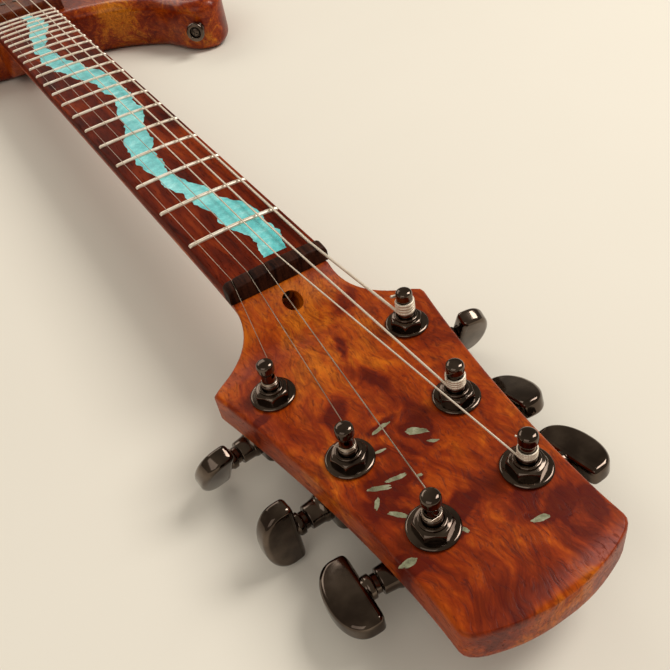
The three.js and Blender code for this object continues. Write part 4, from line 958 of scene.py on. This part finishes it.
def string(i, finish):
    path = string_path(i)
    sides = 10
    made = solid(f"string_wire_{i + 1}", together(
        tube(path, STRING_SIZES[i] / 2, sides),
        moved(bar(2, 0, 3, 48, 0.5), (string_line(i)[2].x, HOLE_ROW, 4.4)),
    ))
    lengths = [0]
    for a, b in zip(path, path[1:]):
        lengths.append(lengths[-1] + (b - a).length)
    held_lengths = made.data.attributes.new("along", "FLOAT", "POINT")
    for v in range(min(len(path) * sides, len(made.data.vertices))):
        held_lengths.data[v].value = lengths[v // sides]
    dress(made, finish, [f"string_{i + 1}"])


# Tuners


def key_outline():
    top = [(0, 9.2), *bezier((0, 9.2), (0, 13.5), (0.6, 13.5), (4.6, 13.5), 8)[1:],
           *bezier((4.6, 13.5), (9.9, 13.5), (13.2, 7.9), (13.2, 0), 22)]
    return [*((x, -y) for x, y in top[:-1]), *reversed(top)]


def tuner(i, metal, screw_metal):
    hand, x, y, angle = tuner_place(i)
    stand = (turn(angle, "Z"), (x, y, 0))
    side = -hand * 5
    level = HEAD_BACK - 6.5
    top = HEAD_BACK - SEAT
    boss = rounded([(0, -3), (5.2, -3), (5.2, 1.4), (4.6, 2.4), (4.3, 7), (3.4, 7), (0, 7)], 0.7)
    case = together(
        moved(slab(rounded_rectangle(17, 15, 3.4), top - 12, top, 2.4, 6), (2.3, side / 2, 0)),
        moved(turned(boss), ALONG_X, (10.8, side, level)),
        moved(slab(rounded_rectangle(6.2, 13, 3), top - 2, top, 0.5, 3), (2.3, hand * 5, 0)),
    )
    piece(f"tuner_case_{i + 1}", moved(case, *stand), metal, [f"tuner_housing_{i + 1}"])
    head = turned(rounded([(0, -1.1), (1.5, -1.1), (2.1, -0.4), (2.1, 0), (0, 0)], 0.3), 32)
    ear = (2.3, hand * 8.4, top - 2)
    slot = moved(block((-3, -0.3, -2), (3, 0.3, -0.6)), turn(37 * i, "Z"), ear, *stand)
    piece(f"tuner_fixing_{i + 1}", moved(head, ear, *stand), screw_metal, cuts=[slot])
    low = HEAD_FACE + SEAT
    washer = turned(rounded([
        (3.3, low), (8.2, low), (8.2, low + 0.7), (7.6, low + 1.1), (3.3, low + 1.1), (3.3, low),
    ], 0.3), 64)
    ring = turned(rounded([
        (3.3, low), (4.4, low), (4.4, low + 4.6), (4.0, low + 4.8), (3.3, low + 4.8), (3.3, low),
    ], 0.25), 48)
    hexagon = moved(hexagonal(11, low + 1.0, low + 3.8), turn(11 * i, "Z"))
    piece(f"tuner_collar_{i + 1}", moved(together(washer, ring, hexagon), *stand), metal,
          [f"tuner_bushing_{i + 1}"], sharp=50)
    cap = rounded([
        (0, 17.7), (3.1, 17.7), (3.1, 41.6), (2.5, 42.0), (2.5, 46.8), (3.1, 47.6), (3.1, 49.9),
        (2.9, 50.7), (2.1, 51.3), (0, 51.6),
    ], 0.45)
    hole = moved(bar(0.9, -5, 5, 20), ALONG_X, turn(40 + 50 * i, "Z"), (0, 0, 45.6))
    piece(f"tuner_stem_{i + 1}", moved(turned(cap, 56), *stand), metal, [f"tuner_post_{i + 1}"],
          body=f"post_{i + 1}", cuts=[moved(hole, *stand)])
    stem = turned(rounded([
        (0, 5.8), (2.6, 5.8), (2.6, 18.1), (3.2, 18.1), (3.2, 19.9), (4, 20.2), (4, 22.0), (3.4, 22.6),
        (3.2, 24), (0, 24),
    ], 0.35), 40)
    grip = moved(slab(key_outline(), -3.5, 3.5, 1.9, 7), (22.3, 0, 0))
    key = moved(together(moved(stem, ALONG_X), grip), turn(KEY_RESTS[i], "X"), (0, side, level), *stand)
    piece(f"tuner_button_{i + 1}", key, metal, [f"tuner_key_{i + 1}"], body=f"key_{i + 1}", sharp=50)


# Body


# Outline: shares of the half width across, and along of the tail, of the neck joint and of the horn
BODY_OUTLINE = (
    (0.12, 0.975), (0.21, 0.957), (0.31, 0.935), (0.41, 0.94), (0.49, 0.99), (0.545, 1.12), (0.605, 1.33),
    (0.68, 1.42), (0.76, 1.32), (0.83, 1.06), (0.89, 0.82), (0.915, 0.6), (0.86, 0.36), (0.8, 0.17),
    (0.785, 0), (0.85, -0.22), (0.93, -0.42), (0.955, -0.6), (0.9, -0.8), (0.72, -0.94), (0.42, -0.99),
    (0, -1),
    (-0.42, -0.99), (-0.74, -0.94), (-0.92, -0.78), (-0.985, -0.52), (-0.95, -0.3), (-0.86, -0.06),
    (-0.8, 0.12), (-0.83, 0.34), (-0.93, 0.6), (-0.992, 0.82), (-0.997, 1.03), (-0.96, 1.3),
    (-0.915, 1.6), (-0.87, 1.85), (-0.8, 1.985), (-0.72, 1.97), (-0.655, 1.85), (-0.62, 1.66),
    (-0.59, 1.48), (-0.52, 1.31), (-0.42, 1.14), (-0.31, 1.04), (-0.18, 0.985),
)


def body_outline(low, high):
    corners = []
    for across, along in BODY_OUTLINE:
        if along <= 0:
            y = along * TAIL_LENGTH
        else:
            y = min(along, 1) * JOINT + max(along - 1, 0) * HORN_LENGTH
        corners.append((across * BODY_HALF, y))
    outline = smooth_loop(corners, 7)
    if outline_turn(outline) < 0:
        outline.reverse()
    return [(held(p.x, low.x / MM, high.x / MM), held(p.y, low.y / MM, high.y / MM)) for p in outline]


CONTROL_TURN = turn(-52, "Z")


def in_row(along, across=0):
    """X and Y of a place in the slanting row of controls."""
    spot = CONTROL_TURN @ Vector((along, across, 0))
    return spot.x + CONTROL_MIDDLE[0], spot.y + CONTROL_MIDDLE[1]


def body(finish):
    low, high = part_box("body")
    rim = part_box("output_jack")[1].x / MM - 0.5
    pocket = slab(rounded_rectangle(81, 45, 6), 30, 60)
    cuts = [moved(pocket, (0, front - 22, 0)) for front in PICKUP_FRONTS]
    cuts += [
        moved(slab(rounded_rectangle(122, 58, 21), -2, 3.3), CONTROL_TURN, CONTROL_MIDDLE),
        moved(slab(rounded_rectangle(61.5, 9, 4.2), -2, 11.7), (0, HOLE_ROW, 0)),
        moved(bar(10.9, -1.2, 12, 64), ALONG_X, (rim, *JACK_SPOT)),
    ]
    made = solid("body_block", slab(body_outline(low, high), 0, BODY_TOP, 9, 8))
    carve(made, *cuts)
    dress(made, finish, ["body"], sharp=30)


# Nut


def nut_ring(y, drop):
    half, corner, fine = 22.3, 2.4, 7
    top = BOARD_TOP + 2.3 - drop
    right = [(half, BOARD_BOTTOM)]
    shoulder = top - crown_drop(half)
    for k in range(fine + 1):
        angle = math.pi / 2 * k / fine
        right.append((
            half - corner + corner * math.cos(angle), shoulder - corner + corner * math.sin(angle),
        ))
    right += [(x, top - crown_drop(x)) for x in (16, 11, 5)]
    return [(x, y, z) for x, z in (*right, (0, top), *((-x, z) for x, z in reversed(right)))]


def nut(finish):
    rear = NUT_FRONT + NUT_THICKNESS
    block_of_wood = skin([
        nut_ring(NUT_FRONT, 0.25), nut_ring(NUT_FRONT + 0.3, 0.02), nut_ring(NUT_FRONT + 1, 0),
        nut_ring(rear - 1.2, 0.55), nut_ring(rear - 0.35, 0.85), nut_ring(rear, 1.25),
    ])
    slots = []
    for i in STRINGS:
        radius, front, _ = string_line(i)
        leave = winding(i)[0]
        path = [front.lerp(leave, share) for share in (-0.05, 0, 0.14, 0.2)]
        wide = radius + 0.28
        corners = ((-wide, 0), (wide, 0), (wide, 6), (-wide, 6))
        walls = [[(p.x + across, p.y, p.z + up) for across, up in corners] for p in path]
        slots += [tube([p + Vector((0, 0, 0.05)) for p in path], wide, 16), skin(walls)]
    piece("nut_block", block_of_wood, finish, ["nut"], cuts=slots, sharp=45)


# Bridge


def cross(reach, wide, deep, height, angle):
    """The recess of a cross-head screw whose head's top is at a height."""
    arms = [block((-reach, -wide, height - deep), (reach, wide, height + 2)),
            block((-wide, -reach, height - deep), (wide, reach, height + 2))]
    return [moved(arm, turn(angle, "Z")) for arm in arms]


def screw_head(name, spot, radius, height, finish, angle):
    """A domed cross-head screw that stands on a spot."""
    profile = [(0, 0), (radius, 0), (radius * 0.92, height * 0.5), (radius * 0.5, height), (0, height)]
    head = turned(rounded(profile, 0.5 * radius), 40)
    cuts = [moved(c, spot) for c in cross(radius * 0.62, radius * 0.13, height * 0.6, height, angle)]
    piece(name, moved(head, spot), finish, cuts=cuts)


def bridge(metal):
    profile = [
        (12, 40.3), (12, 42.1), (10.8, PLATE_TOP), (-27, PLATE_TOP), (-27, 52.3), (-30, 52.3), (-30, 40.3),
    ]
    plate_cuts = [moved(bar(1.7, 30, 60, 24), (string_line(i)[2].x, HOLE_ROW, 0)) for i in STRINGS]
    made = solid("bridge_base", along_x(profile, -41, 41))
    soften(made, 0.7, 4)
    carve(made, *plate_cuts)
    dress(made, metal, ["bridge_plate"])
    for k, (x, y) in enumerate(((-21, -22.5), (0, -22.5), (21, -22.5), (-35.5, 5.5), (35.5, 5.5))):
        screw_head(f"bridge_screw_{k + 1}", (x, y, PLATE_TOP), 3.3, 2.1, metal, 23 * k)
    for i in STRINGS:
        saddle = string_line(i)[2]
        tip = saddle.y - 12.5 + 1.6
        shaft = turned(rounded([
            (0, -31.9), (1.8, -31.9), (2.4, -31.2), (2.4, -30), (1.3, -30), (1.3, tip), (0, tip),
        ], 0.4), 28)
        stand = (ALONG_Y, (saddle.x, 0, INTONATION_LEVEL))
        slot = moved(block((-3, -0.3, -33), (3, 0.3, -31.2)), turn(29 * i, "Z"), *stand)
        piece(f"intonation_screw_{i + 1}", moved(shaft, *stand), metal, cuts=[slot])


def saddle(i, metal, steel):
    radius, _, top = string_line(i)
    crest, foot = top.z - radius - SEAT, 45.7
    front, rear = top.y + 4, top.y - 15.5
    profile = [
        (front, foot), (front, crest - 1.6), (front - 0.9, crest - 0.6), (front - 2.0, crest - 0.12),
        (top.y + 0.9, crest), (top.y + 0.3, crest - 0.1), (rear + 1.4, crest - 2.4), (rear, crest - 3.8),
        (rear, foot),
    ]
    made = solid(f"saddle_block_{i + 1}", along_x(profile, top.x - 4.95, top.x + 4.95))
    soften(made, 0.4, 3)
    holes = [block((top.x - 1.4, top.y - 12.5, foot - 2), (top.x + 1.4, top.y + 0.2, crest + 3)),
             moved(bar(1.6, -4, 4, 24), ALONG_Y, (top.x, rear, INTONATION_LEVEL))]
    spots = [(top.x + side * 3.1, top.y + 2.15) for side in (-1, 1)]
    holes += [moved(bar(1.3, crest - 1.6, crest + 3, 24), (x, y, 0)) for x, y in spots]
    carve(made, *holes)
    dress(made, metal, [f"saddle_{i + 1}"], body=f"saddle_slide_{i + 1}")
    grub = turned(rounded([
        (0, 43.6), (0.9, 43.6), (1.2, 44.2), (1.2, crest - 0.9), (0, crest - 0.9),
    ], 0.25), 24)
    for k, (x, y) in enumerate(spots):
        socket = bar(0.62, crest - 2, crest, 6)
        piece(f"height_screw_{i + 1}_{k + 1}", moved(grub, (x, y, 0)), steel,
              body=f"saddle_slide_{i + 1}", cuts=[moved(socket, (x, y, 0))])


def ferrules(metal):
    strip = slab(rounded_rectangle(60.9, 8.4, 3.78), 0.4, 11.4, 0.3, 3, 0.6)
    made = solid("ferrule_bar", moved(strip, (0, HOLE_ROW, 0)))
    hole = turned([(0, -2), (2.9, -2), (2.6, 0.9), (2.6, 7.4), (0, 7.4)], 32)
    carve(made, *[moved(hole, (string_line(i)[2].x, HOLE_ROW, 0)) for i in STRINGS])
    dress(made, metal, ["ferrule_block"])


# Pickups


def pickup(which, wood, metal, steel):
    front = PICKUP_FRONTS[which]
    name = ("neck", "bridge")[which]
    cover = moved(slab(rounded_rectangle(80, 44, 6, 12), 26, 50, 2.2, 6, 0.8), (0, front - 22, 0))
    poles = [(26.75 * (2 * i / 5 - 1), front - 30) for i in STRINGS]
    holes = [moved(bar(2.6, 48.5, 53, 32), (x, y, 0)) for x, y in poles]
    piece(f"{name}_pickup_cover", cover, wood, [f"{name}_pickup"], cuts=holes)
    slugs = [moved(bar(2.4, 40, 50.7, 32, 0.45), (x, y, 0)) for x, y in poles]
    piece(f"{name}_pickup_poles", together(*slugs), steel)
    for k, side in enumerate((-1, 1)):
        spot = (35 * side, front - 22, 50)
        screw_head(f"{name}_pickup_screw_{k + 1}", spot, 2.6, 1.2, metal, 31 * k + 12)


# Controls


def knob(name, along, body_name, metal, inlay):
    x, y = in_row(along)
    low = 40.8
    profile = rounded([
        (2.8, low + 3.6), (7.4, low + 3.6), (7.4, low), (9.5, low), (9.5, low + 1.6), (8.9, low + 2.4),
    ], 0.4) + [(8.9 - 0.75 * k / 14, low + 2.9 + 11.2 * k / 14) for k in range(15)] + rounded([
        (8.15, low + 14.5), (8.15, low + 15.9), (7.0, low + 17), (5.2, low + 16.5), (0, low + 16.3),
    ], 0.5)
    points, faces = turned(profile, 144)
    for p in points:
        reach = math.hypot(p.x, p.y)
        if low + 2.8 < p.z < low + 14.3 and reach > 7.8:
            ridge = 0.24 * math.cos(36 * math.atan2(p.y, p.x))
            share = (reach + ridge - 0.24) / reach
            p.x, p.y = p.x * share, p.y * share
    shaft = bar(2.9, 24.9, low + 8.5, 32, 0.3)
    piece(f"{name}_grip", moved(together((points, faces), shaft), (x, y, 0)), metal, [f"{name}_knob"],
          body=body_name, sharp=42)
    top = moved(slab(rounded_rectangle(5.2, 1.1, 0.5), low + 16.2, low + 16.75, 0.15, 2), (3.0, 0, 0))
    piece(f"{name}_mark", moved(top, turn(90 + 15 * along / 36, "Z"), (x, y, 0)), inlay, body=body_name)


def switch(metal):
    x, y = in_row(-36)
    low = BODY_TOP + SEAT
    points, faces = turned(rounded([
        (5.0, low), (8.4, low), (8.4, low + 1.9), (7.8, low + 2.6), (5.6, low + 2.6), (5.6, low + 4.1),
        (4.2, low + 4.1), (4.2, 33), (5.0, 33), (5.0, low),
    ], 0.3), 120)
    for p in points:
        reach = math.hypot(p.x, p.y)
        if reach > 8.2:
            for axis in (0, 1):
                p[axis] *= (reach - 0.15 + 0.15 * math.cos(40 * math.atan2(p.y, p.x))) / reach
    case = slab(rounded_rectangle(20, 14, 0.8), 11.7, 33.7, 0.6, 3)
    piece("switch_collar", moved(together((points, faces), moved(case, CONTROL_TURN)), (x, y, 0)),
          metal, ["selector_switch"], sharp=42)
    stick = turned(rounded([
        (0, 33.4), (2.5, 34.4), (3.6, 37), (2.5, 39.6), (1.5, 40.6), (1.5, 45.4), (3.0, 47.6), (3.4, 50),
        (3.3, 52.4), (2.2, 54), (0, 54),
    ], 0.9), 40)
    piece("switch_stick", moved(stick, (x, y, 0)), metal, ["switch_lever"], body="lever", sharp=55)


def jack(metal, steel):
    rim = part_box("output_jack")[1].x / MM - 1.4
    stand = (ALONG_X, (rim, *JACK_SPOT))
    flange = turned(rounded([
        (3.4, -24.5), (7, -24.5), (7, 0), (10.5, 0), (10.5, 0.6), (9.2, 1.2), (7.6, 1.38), (5.0, 1.38),
        (3.4, 0.9), (3.4, -24.5),
    ], 0.25), 64)
    piece("jack_plate", moved(flange, *stand), metal, ["output_jack"])
    piece("jack_ring", moved(bar(6.8, -26, -24.4, 40, 0.2), *stand), steel)


def strap_button(end, spot, way, metal, steel):
    stand = (Vector((0, 0, 1)).rotation_difference(Vector(way)).to_matrix(), (*spot, 20))
    out = SEAT
    button = turned(rounded([
        (2.3, out), (5.6, out), (5.4, out + 1.0), (4.2, out + 4.6), (4.6, out + 6.6), (7.1, out + 7.7),
        (7.5, out + 8.6), (7.5, out + 9.9), (6.7, out + 11), (4.9, out + 11), (4.3, out + 10.4),
        (4.3, out + 8.2), (2.3, out + 8.2), (2.3, out),
    ], 0.6), 64)
    piece(f"strap_knob_{end}", moved(button, *stand), metal, [f"strap_button_{end}"], sharp=60)
    level = out + 8.2 + SEAT
    shank = bar(2, level - 26, level, 24)
    head = turned(rounded([
        (0, level), (3.7, level), (3.5, level + 1.0), (2.4, level + 1.8), (0, level + 2.0),
    ], 0.8), 40)
    cuts = [moved(c, *stand) for c in cross(2.2, 0.42, 1.2, level + 2, 20)]
    piece(f"strap_fixing_{end}", moved(together(shank, head), *stand), steel, [f"strap_screw_{end}"],
          cuts=cuts)


def control_panel(wood, metal):
    panel = slab(rounded_rectangle(121.4, 57.4, 20.7, 14), 0.4, 3.0, 0.2, 2, 0.5)
    piece("control_panel", moved(panel, CONTROL_TURN, CONTROL_MIDDLE), wood, ["control_cover"])
    for k, (end, side) in enumerate(((-1, -1), (-1, 1), (1, -1), (1, 1))):
        stand = (turn(180, "X"), (*in_row(end * 40, side * 25.5), 0.4))
        head = turned(rounded([(0, -2.0), (1.3, -2.0), (2.7, -0.3), (2.7, 0.02), (0, 0.06)], 0.2), 32)
        cuts = [moved(c, *stand) for c in cross(1.7, 0.3, 0.9, 0.1, 17 * k)]
        piece(f"panel_screw_{k + 1}", moved(head, *stand), metal, cuts=cuts)


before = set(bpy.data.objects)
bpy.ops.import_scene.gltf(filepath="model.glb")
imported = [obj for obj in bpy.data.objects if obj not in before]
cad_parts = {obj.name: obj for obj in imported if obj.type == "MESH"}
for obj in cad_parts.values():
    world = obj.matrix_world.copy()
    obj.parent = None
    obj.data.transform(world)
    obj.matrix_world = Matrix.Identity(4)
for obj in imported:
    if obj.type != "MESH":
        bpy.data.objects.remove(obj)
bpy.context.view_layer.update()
camera()
studio()
floor()

# Lighter and darker places in the headstock: middle, length, width, turn and how much
HEAD_SPOTS = (
    # The first place, by the nut, is partly lighter wood and partly a painted highlight on the ramp that
    # faces the lamp
    (8, 664, 34, 24, 0, 0.24), (12, 700, 42, 15, 80, 0.16), (-16.8, 672, 10, 6, 40, -0.3),
    (-2.9, 693, 9, 3.4, 70, -0.5), (-0.5, 711, 17, 4.5, 115, -0.32), (-5.5, 732, 16, 6, 100, -0.2),
    (-19, 735, 10, 5, 100, -0.3), (16, 719, 11, 6, 60, -0.4), (0.8, 746, 17, 9, 30, -0.2),
    (22, 756, 14, 9, 60, -0.26), (7, 773.5, 9, 5.5, 20, -0.45), (-18, 789, 10, 6, 50, -0.4),
    (-25, 794, 9, 5, 70, -0.4), (-10, 782, 13, 6, 30, -0.25), (38, 706.5, 4.5, 3.5, 0, -0.5),
    (-14, 790, 50, 36, 0, -0.05), (-30, 712, 36, 22, 80, -0.07), (2, 814, 80, 8, 0, 0.3),
)
stone_beds = tuple((x, y, long * 1.1, wide * 2, angle, -0.34) for x, y, long, wide, angle in CHIPS)
head_burl = burl(
    "head_burl", ((0.09, 0.005, 0.001), (0.25, 0.026, 0.001), (0.40, 0.06, 0.002), (0.58, 0.14, 0.005)),
    HEAD_SPOTS + stone_beds,
)
# The body's first patch is a painted highlight on the rounded edge by the bass cutaway; the second is a
# lighter patch at the horn
body_burl = burl(
    "body_burl", ((0.055, 0.003, 0.001), (0.19, 0.016, 0.001), (0.37, 0.056, 0.002), (0.62, 0.19, 0.008)),
    ((-50, 212, 52, 34, 20, 0.36), (-126, 285, 30, 14, 60, 0.2)), gloss=0.3, coat=0.15,
)
cover_wood = burl(
    "cover_burl", ((0.03, 0.003, 0.001), (0.10, 0.014, 0.003), (0.18, 0.04, 0.006), (0.28, 0.09, 0.014)),
    gloss=0.4,
)
rosewood = board_wood()
nut_wood = black_wood()
river = stone("river_stone", (0.045, 0.38, 0.38), (0.13, 0.62, 0.60), (0.34, 0.80, 0.76))
chips = stone("head_stone", (0.10, 0.095, 0.05), (0.25, 0.25, 0.14), (0.40, 0.39, 0.26), 3.0, 0.28)
nickel = plate("black_nickel", (0.065, 0.048, 0.038), (0.155, 0.12, 0.095), 0.07, 0.09)
dull_nickel = plate("dark_steel", (0.05, 0.036, 0.028), (0.12, 0.092, 0.074), 0.24, 0.15)
steel = plate("plain_steel", (0.40, 0.38, 0.36), (0.58, 0.56, 0.53), 0.24, 0.16)
fret_metal = plate("fret_metal", (0.94, 0.82, 0.66), (1.0, 0.94, 0.82), 0.4, 0.14)
plain_wire = plate("plain_wire", (0.40, 0.32, 0.25), (0.62, 0.53, 0.43), 0.3, 0.1)
wrapped_wire = wound_wire()

body(body_burl)
piece("neck_blank", neck_shape(), head_burl, ["neck"],
      cuts=[rod_chamber(), rod_way()], sharp=50)
for number, (x, y, long, wide, angle) in enumerate(CHIPS):
    shape = chip(x, y, long, wide, angle, number + 1)
    piece(f"stone_chip_{number + 1}", shape, chips)
piece("board", board_shape(), rosewood, ["fretboard"], sharp=50)
piece("frets", together(*[fret_shape(n + 1) for n in range(FRET_COUNT)]), fret_metal)
piece("river", river_shape(), river, ["fretboard_inlay"], sharp=50)
nut(nut_wood)
for i in STRINGS:
    tuner(i, nickel, dull_nickel)
    string(i, wrapped_wire if i < 3 else plain_wire)
    saddle(i, nickel, dull_nickel)
bridge(nickel)
ferrules(nickel)
for which in (0, 1):
    pickup(which, cover_wood, nickel, dull_nickel)
knob("volume", 0, "volume", nickel, steel)
knob("tone", 36, "tone", nickel, steel)
switch(nickel)
jack(nickel, dull_nickel)
strap_button("horn", (-120.77, 265.16), (0.586, 0.810, 0), nickel, dull_nickel)
strap_button("tail", (0, -TAIL_LENGTH), (0, -1, 0), nickel, dull_nickel)
control_panel(cover_wood, steel)

for name in ("truss_rod", "truss_rod_nut", "volume_pot", "tone_pot"):
    for held_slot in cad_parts[name].material_slots:
        held_slot.material = steel

view = bpy.context.scene.view_settings
view.view_transform = "Standard"
